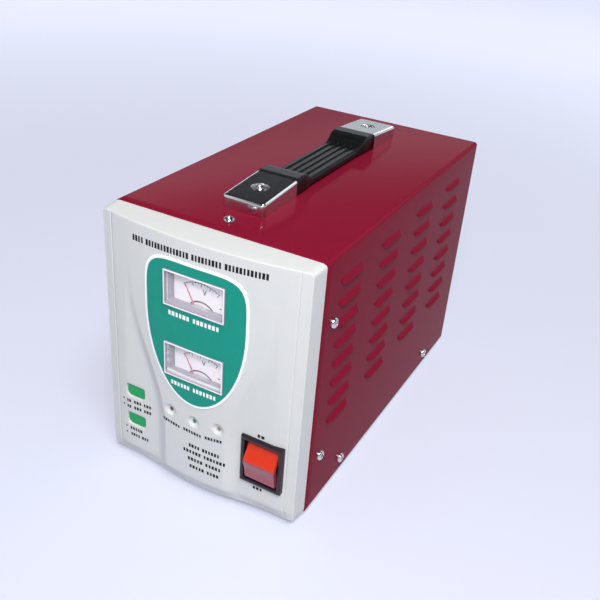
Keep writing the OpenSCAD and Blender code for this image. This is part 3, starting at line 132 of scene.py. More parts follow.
def loft(loops, capStart=True, capEnd=True):
    # Closed loops of equal length, skinned in turn, with flat ends.
    rows, cols = len(loops), len(loops[0])
    faces = gridFaces(rows, cols, wrap=True).tolist()
    if capStart:
        faces.append(list(range(cols))[::-1])
    if capEnd:
        faces.append(list(range((rows - 1) * cols, rows * cols)))
    return np.asarray(loops, float).reshape(-1, 3), faces


def roundRect(w, h, radii, steps=6):
    # An outline whose corners, from the lower left one anticlockwise, have their own radii.
    radii = np.maximum(np.broadcast_to(radii, 4), 1e-4)
    signs = [(-1, -1), (1, -1), (1, 1), (-1, 1)]
    arcs = [math.pi + i * math.pi / 2 + np.linspace(0, math.pi / 2, steps) for i in range(4)]
    return np.concatenate([np.stack([sx * (w / 2 - r) + r * np.cos(t), sz * (h / 2 - r) + r * np.sin(t)], 1)
                           for (sx, sz), r, t in zip(signs, radii, arcs)])


def circle(steps):
    # A round outline of radius 1.
    turn = np.linspace(0, 2 * np.pi, steps + 1)[:-1]
    return np.stack([np.cos(turn), np.sin(turn)], 1)


def facing(outline, y, at=(0.0, 0.0)):
    # An outline in x and z, set at the depth y: one number, or one for each point.
    o = np.asarray(outline, float)
    return np.stack([o[:, 0] + at[0], np.broadcast_to(y, len(o)), o[:, 1] + at[1]], 1)


def fillRings(outer, inner):
    # Triangles between a flat outline and a hole in it.
    bm = bmesh.new()
    edges = []
    for ring in (outer, inner):
        verts = [bm.verts.new((a, b, 0)) for a, b in ring]
        edges += [bm.edges.new((verts[i], verts[(i + 1) % len(verts)])) for i in range(len(verts))]
    bmesh.ops.triangle_fill(bm, edges=edges, use_beauty=True)
    bm.verts.index_update()
    flat = np.array([v.co[:2] for v in bm.verts])
    faces = [[v.index for v in f.verts] for f in bm.faces]
    bm.free()
    return flat, faces


def block(low, high):
    # A box between two corners.
    x, y, z = zip(low, high)
    points = [[x[i], y[k], z[n]] for i in (0, 1) for k in (0, 1) for n in (0, 1)]
    return np.array(points, float), [[0, 1, 3, 2], [4, 6, 7, 5], [0, 4, 5, 1], [2, 3, 7, 6], [0, 2, 6, 4],
                                     [1, 5, 7, 3]]


def wave(share):
    # Half a cosine wave, from 0 to 1.
    return (1 - np.cos(np.pi * np.clip(share, 0, 1))) / 2


# Finishes

def screenColor(r, g, b):
    # A screen colour from 0 to 255, as linear light.
    return tuple(((v / 255 + 0.055) / 1.055) ** 2.4 if v > 10 else v / 255 / 12.92 for v in (r, g, b))


def fillNode(tree, node, sockets):
    # Sets a node's inputs, each to a value or from another node's output.
    for key, value in sockets.items():
        if isinstance(value, bpy.types.NodeSocket):
            tree.links.new(value, node.inputs[key])
        else:
            node.inputs[key].default_value = value


def addNode(tree, kind, sockets=None, **settings):
    # Adds a shader node and returns its outputs.
    node = tree.nodes.new("ShaderNode" + kind)
    for key, value in settings.items():
        setattr(node, key, value)
    fillNode(tree, node, sockets or {})
    return node.outputs


def finish(name, color, rough, metal=0.0, coat=0.0, gloss=0.5, grain=0.05, grainSize=0.4, bump=0.0,
           bumpSize=1.0, mottle=0.0, mottleSize=8.0, glow=0.0, alpha=1.0):
    # grain is how far the roughness wanders, bump the height of the surface's ripple, and mottle how far the
    # colour wanders. The sizes are those of the three noises.
    m = bpy.data.materials.new(name)
    m.use_nodes = True
    tree = m.node_tree
    shader = tree.nodes["Principled BSDF"]
    fillNode(tree, shader, {"Base Color": (*color, 1), "Roughness": rough, "Metallic": metal, "Coat Weight": coat,
                            "Coat Roughness": 0.1, "Specular IOR Level": gloss, "Alpha": alpha,
                            "Emission Color": (*color, 1), "Emission Strength": glow})
    where = addNode(tree, "TexCoord")["Object"]

    def noise(size, detail=2):
        return addNode(tree, "TexNoise", {"Scale": 1 / (size * mm), "Detail": detail, "Vector": where})["Fac"]

    fillNode(tree, shader, {"Roughness": addNode(tree, "MapRange", {
        "To Min": max(rough - grain, 0.02), "To Max": min(rough + grain, 1), "Value": noise(grainSize)})["Result"]})
    if bump:
        fillNode(tree, shader, {"Normal": addNode(tree, "Bump", {"Distance": bump * mm,
                                                                 "Height": noise(bumpSize)})["Normal"]})
    if mottle:
        dark, pale = ((*[min(v * (1 + s * mottle), 1) for v in color], 1) for s in (-1, 1))
        fillNode(tree, shader, {"Base Color": addNode(tree, "Mix", {
            "A": dark, "B": pale, "Factor": noise(mottleSize, 3)}, data_type="RGBA")["Result"]})
    return m


def paint(name, color, rough, **more):
    # A finish whose colour is given as a screen shows it.
    return finish(name, screenColor(*color), rough, **more)


maroonPaint = paint("maroonPaint", (122, 20, 44), 0.2, gloss=0.015, bump=0.006, bumpSize=0.7, mottle=0.05,
                    mottleSize=18)
greyShell = paint("greyShell", (203, 205, 205), 0.42, gloss=0.35, bump=0.006, bumpSize=0.5, mottle=0.02)
tealSheet = paint("tealSheet", (16, 138, 122), 0.4, gloss=0.2, grain=0.04, bump=0.004, bumpSize=0.4, mottle=0.05,
                  mottleSize=4)
whiteInk = paint("whiteInk", (238, 243, 243), 0.5, mottle=0.02)
darkInk = paint("darkInk", (24, 24, 28), 0.6, gloss=0.2, mottle=0.1, mottleSize=2)
meterPlastic = paint("meterPlastic", (226, 224, 234), 0.3, coat=0.2, mottle=0.04)
# A darker copy of the meter plastic: painted shade on each window's inner walls. The hidden back box behind the dial
# shares it.
meterShadeGrey = paint("meterShadeGrey", (150, 144, 158), 0.45, mottle=0.1, mottleSize=2)
# The dial glows faintly though it is no lamp: painted light that keeps it pale inside its shaded window.
dialCard = paint("dialCard", (244, 240, 248), 0.6, mottle=0.02, glow=0.12)
scaleInk = paint("scaleInk", (52, 48, 58), 0.6, mottle=0.1, mottleSize=1)
needleRed = paint("needleRed", (212, 84, 104), 0.4, mottle=0.05, mottleSize=1)
hoodGrey = paint("hoodGrey", (186, 180, 192), 0.3, coat=0.2, mottle=0.04, mottleSize=2)
switchBlack = paint("switchBlack", (34, 20, 30), 0.32, gloss=0.4, bump=0.004, bumpSize=0.4, mottle=0.1)
moltenRed = paint("rockerRed", (196, 50, 28), 0.26, gloss=0.35, grain=0.04, mottle=0.08, mottleSize=5)
# A darker, duller copy of the rocker's red: painted shade for the rocker's lower, downward-facing half.
paintedShadeRed = paint("rockerShade", (150, 60, 74), 0.2, coat=0.2, grain=0.04, mottle=0.3, mottleSize=3)
buttonGreen = paint("buttonGreen", (10, 152, 86), 0.4, gloss=0.3, mottle=0.04, mottleSize=3)
strapBlack = paint("strapBlack", (14, 17, 18), 0.34, gloss=0.3, grain=0.08, bump=0.01, bumpSize=0.6, mottle=0.15,
                   mottleSize=3)
rubberBlack = paint("rubberBlack", (26, 27, 28), 0.6, grain=0.08, bump=0.02, bumpSize=0.5, mottle=0.15, mottleSize=3)
plasticBlack = paint("plasticBlack", (30, 30, 32), 0.45, grain=0.08, bump=0.01, bumpSize=0.5, mottle=0.1)
brightChrome = finish("brightChrome", (0.74, 0.76, 0.77), 0.14, metal=1, bump=0.004, bumpSize=1.5, mottle=0.03,
                      mottleSize=6)
zincPlate = finish("zincPlate", (0.62, 0.60, 0.61), 0.2, metal=1, grain=0.08, mottle=0.06, mottleSize=2)
platedSheet = finish("platedSheet", (0.55, 0.56, 0.58), 0.4, metal=1, grain=0.1, grainSize=3, mottle=0.12,
                     mottleSize=6)
brassStrip = finish("brassStrip", (0.72, 0.52, 0.22), 0.3, metal=1, grain=0.08, mottle=0.08, mottleSize=2)
plainAlloy = finish("plainAlloy", (0.62, 0.63, 0.65), 0.35, metal=1, grain=0.08, mottle=0.06)
boardGreen = paint("boardGreen", (30, 92, 48), 0.35, coat=0.4, mottle=0.15, mottleSize=3)
amberTape = paint("amberTape", (206, 168, 64), 0.4, coat=0.3, grain=0.08, mottle=0.15, mottleSize=5)
relayBlue = paint("relayBlue", (30, 62, 150), 0.35, mottle=0.06)
sleeveBlue = paint("sleeveBlue", (24, 28, 70), 0.35, mottle=0.06)
rearPaint = paint("rearPaint", (40, 40, 43), 0.5, grain=0.08, bump=0.02, bumpSize=0.6, mottle=0.1)
redLens, greenLens, yellowLens = (
    paint(name, color, 0.2, coat=0.4, grain=0.04, mottle=0.1, mottleSize=1)
    for name, color in (("redLens", (104, 40, 48)), ("greenLens", (38, 110, 84)), ("yellowLens", (128, 118, 92))))
clearWindow = finish("clearWindow", (1, 1, 1), 0.05, grain=0.02, alpha=0.1)

# Pieces that keep their CAD shape, by finish. The rest are zinc plated.
cadLooks = {name: look for look, names in (
    (platedSheet, "base_chassis front_plate ring_dish"), (rearPaint, "rear_panel"),
    (brassStrip, "switch_terminals board_posts"), (boardGreen, "button_board lamp_board control_board"),
    (plasticBlack, "button_switches terminal_strip breaker_body left_socket right_socket"),
    (rubberBlack, "rubber_feet ring_pads cord_gland"), (amberTape, "transformer_ring"), (relayBlue, "relays"),
    (sleeveBlue, "board_capacitors"), (plainAlloy, "heat_sink upper_meter_movement lower_meter_movement"),
    (moltenRed, "breaker_button")) for name in names.split()}
for name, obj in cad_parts.items():
    obj.data.materials.clear()
    obj.data.materials.append(cadLooks.get(name, zincPlate))
print("finishes ready")


# Cover

louvre = {"start": 18.3, "l": 24.0, "pitchY": 50.4, "low": 50.6, "h": 3.4, "pitchZ": 12.3, "out": 2.0,
          "rows": 8, "columns": 4, "endPower": 8, "endRoot": 0.6, "rampPower": 1.2, "slot": 0.06, "guard": 0.35,
          "across": 25, "up": 9, "upPower": 1.3}
sheet = {"rollAt": [0.0, 0.12, 0.45], "rollIn": [0.4, 0.14, 0.0], "front": 6.0, "rear": 214.0,
         "low": [0.0, 20.0, 40.0], "bendSteps": 7}


def louvreRise(u, v):
    # A pressed hood's height: full along its lip, falling in a hollow ramp to its top and quickly to its ends.
    ends = np.clip(1 - np.abs(u) ** louvre["endPower"], 0, 1) ** louvre["endRoot"]
    return louvre["out"] * ends * np.clip(1 - v, 0, 1) ** louvre["rampPower"]


def coverSheet():
    # Two louvred sides and a top, joined by two bends. On a louvre u runs from -1 to 1 across and v from 0 to 1
    # up, and the cells just below its lip are left open.
    across = np.sin(np.linspace(-np.pi / 2, np.pi / 2, louvre["across"]))
    guard, half = louvre["guard"], louvre["l"] / 2
    ys, u = [case["seam"] + a for a in sheet["rollAt"]] + [sheet["front"]], [2.0] * 4
    for i in range(louvre["columns"]):
        mid = louvre["start"] + half + i * louvre["pitchY"]
        ys += [mid - half - guard, *(mid + across * half), mid + half + guard]
        u += [2.0, *across, 2.0]
    ys, u = np.array(ys + [sheet["rear"], case["l"]]), np.array(u + [2.0, 2.0])
    up = np.linspace(0, 1, louvre["up"]) ** louvre["upPower"]
    zs, v = list(sheet["low"]), [2.0] * 3
    for k in range(louvre["rows"]):
        z = louvre["low"] + k * louvre["pitchZ"]
        zs += [z - louvre["slot"] - guard, z - louvre["slot"], *(z + up * louvre["h"]), z + louvre["h"] + guard]
        v += [2.0, 2.0, *up, 2.0]
    zs, v = np.array(zs + [case["h"] - case["bend"]]), np.array(v + [2.0])
    z, y = np.meshgrid(zs, ys, indexing="ij")
    roll = np.interp(y, case["seam"] + np.array(sheet["rollAt"]), sheet["rollIn"])
    inside = np.abs(u) <= 1
    out = np.where(inside & (v <= 1)[:, None], louvreRise(u, v[:, None]), -roll)
    slot = inside[1:] & inside[:-1] & (v[1:] == 0)[:, None]
    faces = gridFaces(len(zs), len(ys), keep=~slot)
    parts = [(np.stack([side * (case["w"] / 2 + out), y, z], -1), faces[:, ::side]) for side in (-1, 1)]
    bend, turn = case["bend"], np.linspace(0, np.pi / 2, sheet["bendSteps"])[:, None]
    x = case["w"] / 2 - bend + np.cos(turn) * (bend - roll[0])
    z = case["h"] - bend + np.sin(turn) * (bend - roll[0])
    points = np.stack([np.concatenate([x, -x[::-1]]), np.tile(ys, (2 * len(turn), 1)),
                       np.concatenate([z, z[::-1]])], -1)
    parts.append((points, gridFaces(*points.shape[:2])))
    addPiece("coverSheet", *join(parts), maroonPaint, "cover_paint", nodes=["cover"], sharp=48, merge=0.001,
             turn=False, wall=case["sheet"])


# Moulded front

front = {"crown": 17.5, "wing": 13.4, "edge": 10.6, "side": 1.1, "top": 0.7, "foot": 0.4, "topHalf": 34.5,
         "footHalf": 16.0, "waistLow": 35.0, "waistHigh": 117.0, "step": 12.0, "stepRise": 0.5, "fadeLow": 60.0,
         "fadeHigh": 152.0, "fadeShare": 0.9, "strip": 7.0, "groove": 0.5, "grooveDeep": 0.3, "round": 0.7,
         "corner": 1.2, "wall": 1.6, "heelBack": 10.5, "heelSwell": 4.7, "heelHalf": 50.0, "heelHigh": 8.0,
         "grooveWall": 1.6, "tuck": 0.35}
# The face's grid: its rows' spans with their spacing, a wing's columns, and the gap left for each button.
faceLines = {"foot": (7, 9), "rows": [(8, 42, 1.5), (42, 54.01, 0.35), (55, 112, 1.5), (112, 152, 1.0)], "crown": 60,
             "wing": np.array([34.5, 36.5, 38.5, 41, 43.5, 46, 48.3, 50.5, 52.3]), "last": 54.0, "outer": [57.5, 59],
             "offGroove": [-0.4, -0.25, 0, 0.25, 0.4], "footGap": 0.6, "gap": (8.0, 6.0), "straightBelow": 58,
             "straightFade": 14}
arcR = (case["w"] ** 2 / 4 + (front["crown"] - front["edge"]) ** 2) / (front["crown"] - front["edge"]) / 2


def arcReach(x):
    # Reach of the long arc across the front.
    return np.sqrt(arcR ** 2 - np.asarray(x, float) ** 2) - arcR + front["crown"]


def crownHalf(z):
    # Half the crown's width, which swells from its foot to its top on half a cosine wave.
    share = (z - front["waistLow"]) / (front["waistHigh"] - front["waistLow"])
    return front["footHalf"] + (front["topHalf"] - front["footHalf"]) * wave(share)


def wingFloor(z):
    # Reach of the wings' flat floor, which rises into the arc near the top.
    high = arcReach(front["topHalf"] + front["step"] * front["fadeShare"])
    return front["wing"] + (high - front["wing"]) * wave(
        (z - front["fadeLow"]) / (front["fadeHigh"] - front["fadeLow"]))


def faceReach(x, z):
    # The arc, cut back to the wing floor past a soft step beside the crown, with a groove near each edge, a
    # heel that draws in along the foot, and a dish at each lamp.
    arc, low, half = arcReach(x), wingFloor(z), crownHalf(z)
    share = 1 - (np.abs(x) - half) / front["step"]
    step = low + (np.maximum(arcReach(half), low) + front["stepRise"] - low) * wave(share)
    reach = np.where(share >= 1, arc, np.minimum(arc, step))
    off = np.abs(np.abs(x) - case["w"] / 2 + front["strip"])
    reach = reach - front["grooveDeep"] * np.clip(front["grooveWall"] - off / (front["groove"] / 2), 0, 1)
    heel = front["heelBack"] + front["heelSwell"] * wave(1 - np.abs(x) / front["heelHalf"])
    reach = reach + np.minimum(heel - reach, 0) * wave(1 - z / front["heelHigh"])
    for i in (-1, 0, 1):
        off = np.hypot(x - i * lamps["pitch"], z - lamps["z"] - abs(i) * lamps["rise"])
        rim = lamps["dish"] + lamps["lip"]
        reach = reach - lamps["deep"] * wave((rim - off) / (rim - lamps["r"]))
    return reach


def faceGrid(bottom, top, right):
    # The rows crowd at the lamps' dishes. The columns follow the crown's edge and run straight at the buttons.
    g, wing = faceLines, faceLines["wing"]
    zs = np.unique(np.round(np.concatenate([
        np.linspace(bottom, *g["foot"]), *(np.arange(*row) for row in g["rows"]), np.linspace(top - 3, top, 4),
        [z + s * g["gap"][1] for z in button["z"] for s in (-1, 1)]]), 4))
    zs = zs[(zs >= bottom - 1e-6) & (zs <= top + 1e-6)]
    line = case["w"] / 2 - front["strip"]
    outer = np.array([g["last"], *(line + np.array(g["offGroove"])), *g["outer"], right])
    step = np.concatenate([np.linspace(0, 0.25, 11)[1:], np.linspace(0.25, 1, 13)[1:]])
    half = crownHalf(zs)[:, None]
    foot = half + front["step"] + g["footGap"]
    share = (wing - wing[0]) / (g["last"] - wing[0])
    free = foot + (g["last"] - foot) * share
    mix = wave((zs - g["straightBelow"]) / g["straightFade"])[:, None]
    x = np.concatenate([np.linspace(0, 1, g["crown"]) * half, half + step * front["step"],
                        wing * (1 - mix) + free * mix, np.repeat(outer[None, :], len(zs), 0)], 1)
    x = np.concatenate([-x[:, :0:-1], x], 1)
    return x, np.repeat(zs[:, None], x.shape[1], 1), zs


def frontMoulding():
    # The face, rounded over into drafted sides that run back to the case, with its button holes and windows.
    inset, size = front["side"] + front["round"], np.array([front["corner"], 0, front["corner"]])
    low = np.array([inset - case["w"] / 2, -99, front["foot"] + front["round"]])
    high = np.array([case["w"] / 2 - inset, 99, case["h"] - front["top"] - front["round"]])
    x, z, zs = faceGrid(low[2], high[2], high[0])
    # Each corner of the grid is drawn in to a quarter circle.
    low, high, points = low + size, high - size, np.stack([x, -faceReach(x, z), z], -1)
    near = np.clip(points, low, high)
    off = points - near
    points = near + off * (np.abs(off).max(-1) / np.maximum(np.linalg.norm(off, axis=-1), 1e-9))[..., None]
    points, (rows, cols) = points.reshape(-1, 3), x.shape
    # The middle and half the size of each opening in the face.
    holes = [(switch["x"], switch["z"], *np.array(switch["body"]) - switch["lap"])]
    for k in (0, 1):
        holes += [(button["x"], button["z"][k], *faceLines["gap"]), (
            0, meter["high"] - k * meter["pitch"], meter["w"] / 2 - meter["lap"], meter["h"] / 2 - meter["lap"])]
    midX, midZ = (x[:-1, :-1] + x[1:, 1:]) / 2, (z[:-1, :-1] + z[1:, 1:]) / 2
    keep = np.all([(np.abs(midX - a) > w) | (np.abs(midZ - b) > h) for a, b, w, h in holes], 0)
    faces = gridFaces(rows, cols, keep=keep)[:, ::-1].tolist()
    # The border runs anticlockwise from the lower left corner.
    border = np.concatenate([
        np.arange(cols - 1), np.arange(rows - 1) * cols + cols - 1,
        (rows - 1) * cols + np.arange(cols - 1, 0, -1), np.arange(rows - 1, 0, -1) * cols])
    p = points[border]
    way = p - np.clip(p, low, high)
    way /= np.maximum(np.linalg.norm(way, axis=1), 1e-9)[:, None]
    extra = [p + (way * math.sin(turn) + [0, 1 - math.cos(turn), 0]) * front["round"]
             for turn in np.radians([18, 36, 54, 72, 90])]
    # The sides end in the case's own outline, and then tuck in behind it.
    bend, last = case["bend"], extra[-1]
    straight = np.array([case["w"] - 2 * bend, 0, case["h"] - 2 * bend])
    rim = np.clip((p - low) / (high - low), 0, 1) * straight + [-straight[0] / 2, 0, bend] + way * bend
    extra += [last + (rim - last) * share for share in (0.5, 0.93, 0.98)] + [rim - way * front["tuck"]]
    ids = np.concatenate([border, len(points) + np.arange(len(p) * len(extra))])
    faces += ids[gridFaces(len(extra) + 1, len(p), wrap=True)][:, ::-1].tolist()
    points = np.concatenate([points] + extra)
    parts = [(points, faces)] + [part for k in (0, 1) for part in buttonHole(k, zs)]
    addPiece("frontMoulding", *join(parts), greyShell, "grey_plastic", nodes=["front_bezel"], sharp=50,
             merge=0.002, wall=front["wall"])


def buttonOutline(grow):
    # A button's outline, rounder below than above.
    radii = [button["low"] + grow] * 2 + [button["high"] + grow] * 2
    return roundRect(button["w"] + 2 * grow, button["h"] + 2 * grow, radii, 8)


def buttonHole(k, zs):
    # The face between the grid's gap and the button's hole, and the hole's rounded lip and wall.
    at = np.array([button["x"], button["z"][k]])
    wide, tall = faceLines["gap"]
    xs, low, high = -faceLines["wing"][::-1], at[1] - tall, at[1] + tall
    xs = xs[np.abs(xs - at[0]) <= wide]
    up = zs[(zs > low + 1e-3) & (zs < high - 1e-3)]
    square = np.array([(x, low) for x in xs] + [(xs[-1], z) for z in up] + [(x, high) for x in xs[::-1]]
                      + [(xs[0], z) for z in up[::-1]])
    lip = button["lip"]
    hole = [buttonOutline(button["gap"] + grow) + at for grow in (lip, 0.3 * lip, 0.0, 0.0)]
    flat, faces = fillRings(square, hole[0])
    loops = [facing(h, drop - faceReach(*h.T))
             for h, drop in zip(hole, (0, 0.3 * lip, lip, button["wall"]))]
    return [(facing(flat, -faceReach(*flat.T)), faces), loft(loops, False, False)]


# Panel and print, bent over the front's own surface

panel = {"half": 30.0, "waist": 112.0, "up": 29.0, "upPower": 5, "down": 53.0, "t": 0.5, "border": 1.3,
         "borderRise": 0.02, "windowGap": 0.15}


def panelSpans(x, grow=0.0):
    # Lowest and highest z of the panel at each x: half an ellipse below, and half a superellipse above.
    t, power = np.clip(np.abs(x) / (panel["half"] + grow), 0, 1), panel["upPower"]
    return (panel["waist"] - (panel["down"] + grow) * np.sqrt(1 - t ** 2),
            panel["waist"] + (panel["up"] + grow) * (1 - t ** power) ** (1 / power))


def crownSkin(xs, bands, t):
    # Closed strips on the crown's arc. A band runs between two heights: one number each, or one for each x.
    under, top = -arcReach(xs), -arcReach(xs) - t
    return [loft(np.stack([np.stack(np.broadcast_arrays(xs, y, z), 1) for y, z in (
        (under, low), (top, low), (top, high), (under, high))], 1)) for low, high in bands]


def tealPanel():
    # The coloured panel in three parts, cut round both windows, and the light line round it.
    half, gap = panel["half"], panel["windowGap"]
    hole, tall = meter["w"] / 2 + gap, meter["h"] / 2 + gap
    side = half - (half - hole) * (1 - np.cos(np.linspace(0, np.pi / 2, 17)))
    middle = np.linspace(-hole, hole, 37)
    (low, high), upper, lower = panelSpans(middle), meter["high"], meter["high"] - meter["pitch"]
    bands = [(low, lower - tall), (lower + tall, upper - tall), (upper + tall, high)]
    parts = crownSkin(middle, bands, panel["t"])
    for xs in (-side, side[::-1]):
        parts += crownSkin(xs, [panelSpans(xs)], panel["t"])
    addPiece("tealPanel", *join(parts), tealSheet, "teal_panel", nodes=["front_panel"])
    border, thick = panel["border"], panel["t"] + panel["borderRise"]
    xs = half * np.sin(np.linspace(-np.pi / 2, np.pi / 2, 81))
    outLow, outHigh = panelSpans(xs, border)
    low, high = panelSpans(xs)
    parts = crownSkin(xs, [(outLow, low), (high, outHigh)], thick)
    for s in (-1, 1):
        xs = np.sort(s * (half + border * np.sin(np.linspace(0, np.pi / 2, 9))))
        parts += crownSkin(xs, [panelSpans(xs, border)], thick)
    addPiece("panelLine", *join(parts), whiteInk, "white_print", nodes=["panel_border"])


# Each row of blocks: its two ends, its height at both, its blocks' height, and how many are in each group.
inkRows = [(-39.7, 40.3, 145.3, 147.4, 3.3, [4, 14, 9, 12]),
           (-21.0, -8.9, 40.9, 39.5, 1.9, [7]), (-6.9, 5.3, 39.8, 39.1, 1.9, [7]), (7.2, 18.4, 39.6, 41.0, 1.9, [6]),
           (-3.2, 17.1, 30.1, 30.1, 2.2, [4, 6]), (-6.9, 20.8, 25.6, 25.6, 2.2, [6, 7]),
           (-3.8, 18.1, 20.6, 20.6, 2.2, [5, 5]), (-2.6, 16.9, 15.4, 15.4, 2.2, [5, 4]),
           (37.6, 42.4, 52.4, 52.4, 1.9, [2]), (36.4, 42.8, 16.2, 16.2, 1.9, [3]),
           (-49.2, -46.0, 39.0, 39.0, 2.0, [2]), (-44.2, -31.6, 39.2, 39.9, 2.0, [3, 3]),
           (-49.2, -46.0, 34.9, 34.9, 2.0, [2]), (-44.2, -31.6, 35.1, 35.8, 2.0, [3, 3]),
           (-47.5, -38.6, 19.5, 19.5, 2.0, [5]), (-47.1, -34.2, 15.2, 15.2, 2.0, [4, 3])]
panelRows = [(-16.0, 15.4, 111.2, 111.2, 2.5, [6, 7]), (-14.6, 14.4, 68.6, 68.6, 2.5, [6, 7])]
ink = {"t": 0.06, "gap": 0.7, "fill": 0.64, "sway": 0.12, "swayStep": 1.9, "dot": 1.0,
       "dots": [(-51.6, 39.0), (-51.6, 34.9), (-50.2, 19.5), (-50.2, 15.2)]}


def printBlock(x, z, w, h, lift=0.0):
    # A thin upright block of ink on the front's surface, round its middle. lift is what it stands on.
    xs, zs = x + np.array([-w, 0, w, w, 0, -w]) / 2, z + np.array([-h, -h, -h, h, h, h]) / 2
    y = -faceReach(xs, zs) - lift
    outline = np.stack([xs, zs], 1)
    return loft([facing(outline, y), facing(outline, y - ink["t"])])


def printRow(x0, x1, z0, z1, h, groups, lift=0.0):
    # A row of plain blocks with a gap between its groups. Each fills about two thirds of its place.
    count = sum(groups) + ink["gap"] * (len(groups) - 1)
    pitch = (x1 - x0) / count
    starts = np.concatenate([ink["gap"] * i + sum(groups[:i]) + np.arange(n) for i, n in enumerate(groups)]) + 0.5
    xs, zs = x0 + starts * pitch, z0 + (z1 - z0) * starts / count
    wide = pitch * (ink["fill"] + ink["sway"] * np.sin(ink["swayStep"] * np.arange(len(xs))))
    return [printBlock(x, z, w, h, lift) for x, z, w in zip(xs, zs, wide)]


def printing():
    # Dark blocks and dots on the grey front, and light blocks on the panel.
    dark = [part for row in inkRows for part in printRow(*row)]
    dark += [printBlock(x, z, ink["dot"], ink["dot"]) for x, z in ink["dots"]]
    addPiece("frontPrint", *join(dark), darkInk, "dark_plastic")
    pale = [part for row in panelRows for part in printRow(*row, lift=panel["t"])]
    addPiece("panelPrint", *join(pale), whiteInk, "white_print")


# Meters

meter = {"w": 36.6, "h": 20.2, "high": 125.4, "pitch": 42.4, "depth": 7.5, "proud": 0.6, "wall": 0.8, "lap": 1.0,
         "round": 0.25, "corner": 0.4, "tubeBack": 14.0, "boxHalf": 20.9, "boxDown": 23.3, "boxUp": 12.0,
         "boxT": 2.0, "lensDrop": 0.9, "lensT": 1.0, "cardSide": 0.9, "cardTop": 0.5, "cardT": 0.6, "fit": 0.02}
dial = {"pivot": 16.0, "scale": 20.3, "line": 0.4, "turn": 33, "step": 5.3, "long": (2.2, 0.6), "short": (1.2, 0.35),
        "ink": 0.03, "rimFrom": 0.4, "rimTo": 1.3, "rimTurn": (-44, 58), "vAt": (2.0, -0.4),
        "dashes": (11.0, 13.2), "dash": (1.3, 0.6), "dashDown": 6.9}
pointer = {"l": 20.6, "lean": 27.0, "ahead": 1.1, "t": 0.3, "tail": 3.0, "hub": 1.8,
           "hood": 8.6, "hoodTurn": 62, "hoodFront": 2.3}


def dialPrint(pivot, z0, y):
    # The scale's arc with its ticks, a second arc round the hood, a plain V of two strokes, and two dashes.

    def arcBand(r0, r1, a0, a1):
        a = np.radians(np.linspace(a0, a1, max(3, int(abs(a1 - a0) * 0.8) + 2)))
        way, top = np.stack([np.sin(a), np.cos(a)], 1), y - dial["ink"]
        return loft(np.stack([facing(r * way, d, pivot) for r, d in ((r0, y), (r0, top), (r1, top), (r1, y))], 1))

    scale, line, hood = dial["scale"], dial["line"], pointer["hood"]
    marks = [arcBand(scale - line, scale, -dial["turn"], dial["turn"])]
    for i in range(-6, 7):
        (long, wide), at = dial["long"] if i % 3 == 0 else dial["short"], i * dial["step"]
        marks.append(arcBand(scale - long, scale - line / 2, at - wide, at + wide))
    marks.append(arcBand(hood + dial["rimFrom"], hood + dial["rimTo"], *dial["rimTurn"]))
    vee = np.array([[-1.2, 1.5], [-0.65, 1.5], [0.0, -0.6], [0.65, 1.5], [1.2, 1.5], [0.3, -1.5], [-0.3, -1.5]])
    at = (dial["vAt"][0], z0 + dial["vAt"][1])
    marks.append((np.concatenate([facing(vee, y - dial["ink"], at), facing(vee, y, at)]),
                  [[0, 6, 5, 2], [0, 2, 1], [2, 5, 4], [2, 4, 3]] + gridFaces(2, 7, wrap=True).tolist()))
    w, h = dial["dash"]
    return marks + [block((x, y - dial["ink"], z0 - dial["dashDown"]), (x + w, y, z0 - dial["dashDown"] + h))
                    for x in dial["dashes"]]


def needle(pivot, y):
    # A fine tapered blade with a tail, and its hub.
    lean = math.radians(-pointer["lean"])
    along, beside = np.array([math.sin(lean), math.cos(lean)]), np.array([math.cos(lean), -math.sin(lean)])
    at = np.array([-pointer["tail"], 0.0, 8.0, pointer["l"] - 1, pointer["l"]])[:, None]
    half = np.array([0.5, 0.6, 0.36, 0.24, 0.05])[:, None]
    outline = np.concatenate([along * at + beside * half, (along * at - beside * half)[::-1]])
    hub = loft([facing(r * circle(24), y + d, pivot)
                for r, d in ((pointer["hub"], 0.4), (pointer["hub"], -0.25), (pointer["hub"] - 0.3, -0.4))])
    return [loft([facing(outline, y + s * pointer["t"] / 2, pivot) for s in (1, -1)]), hub]


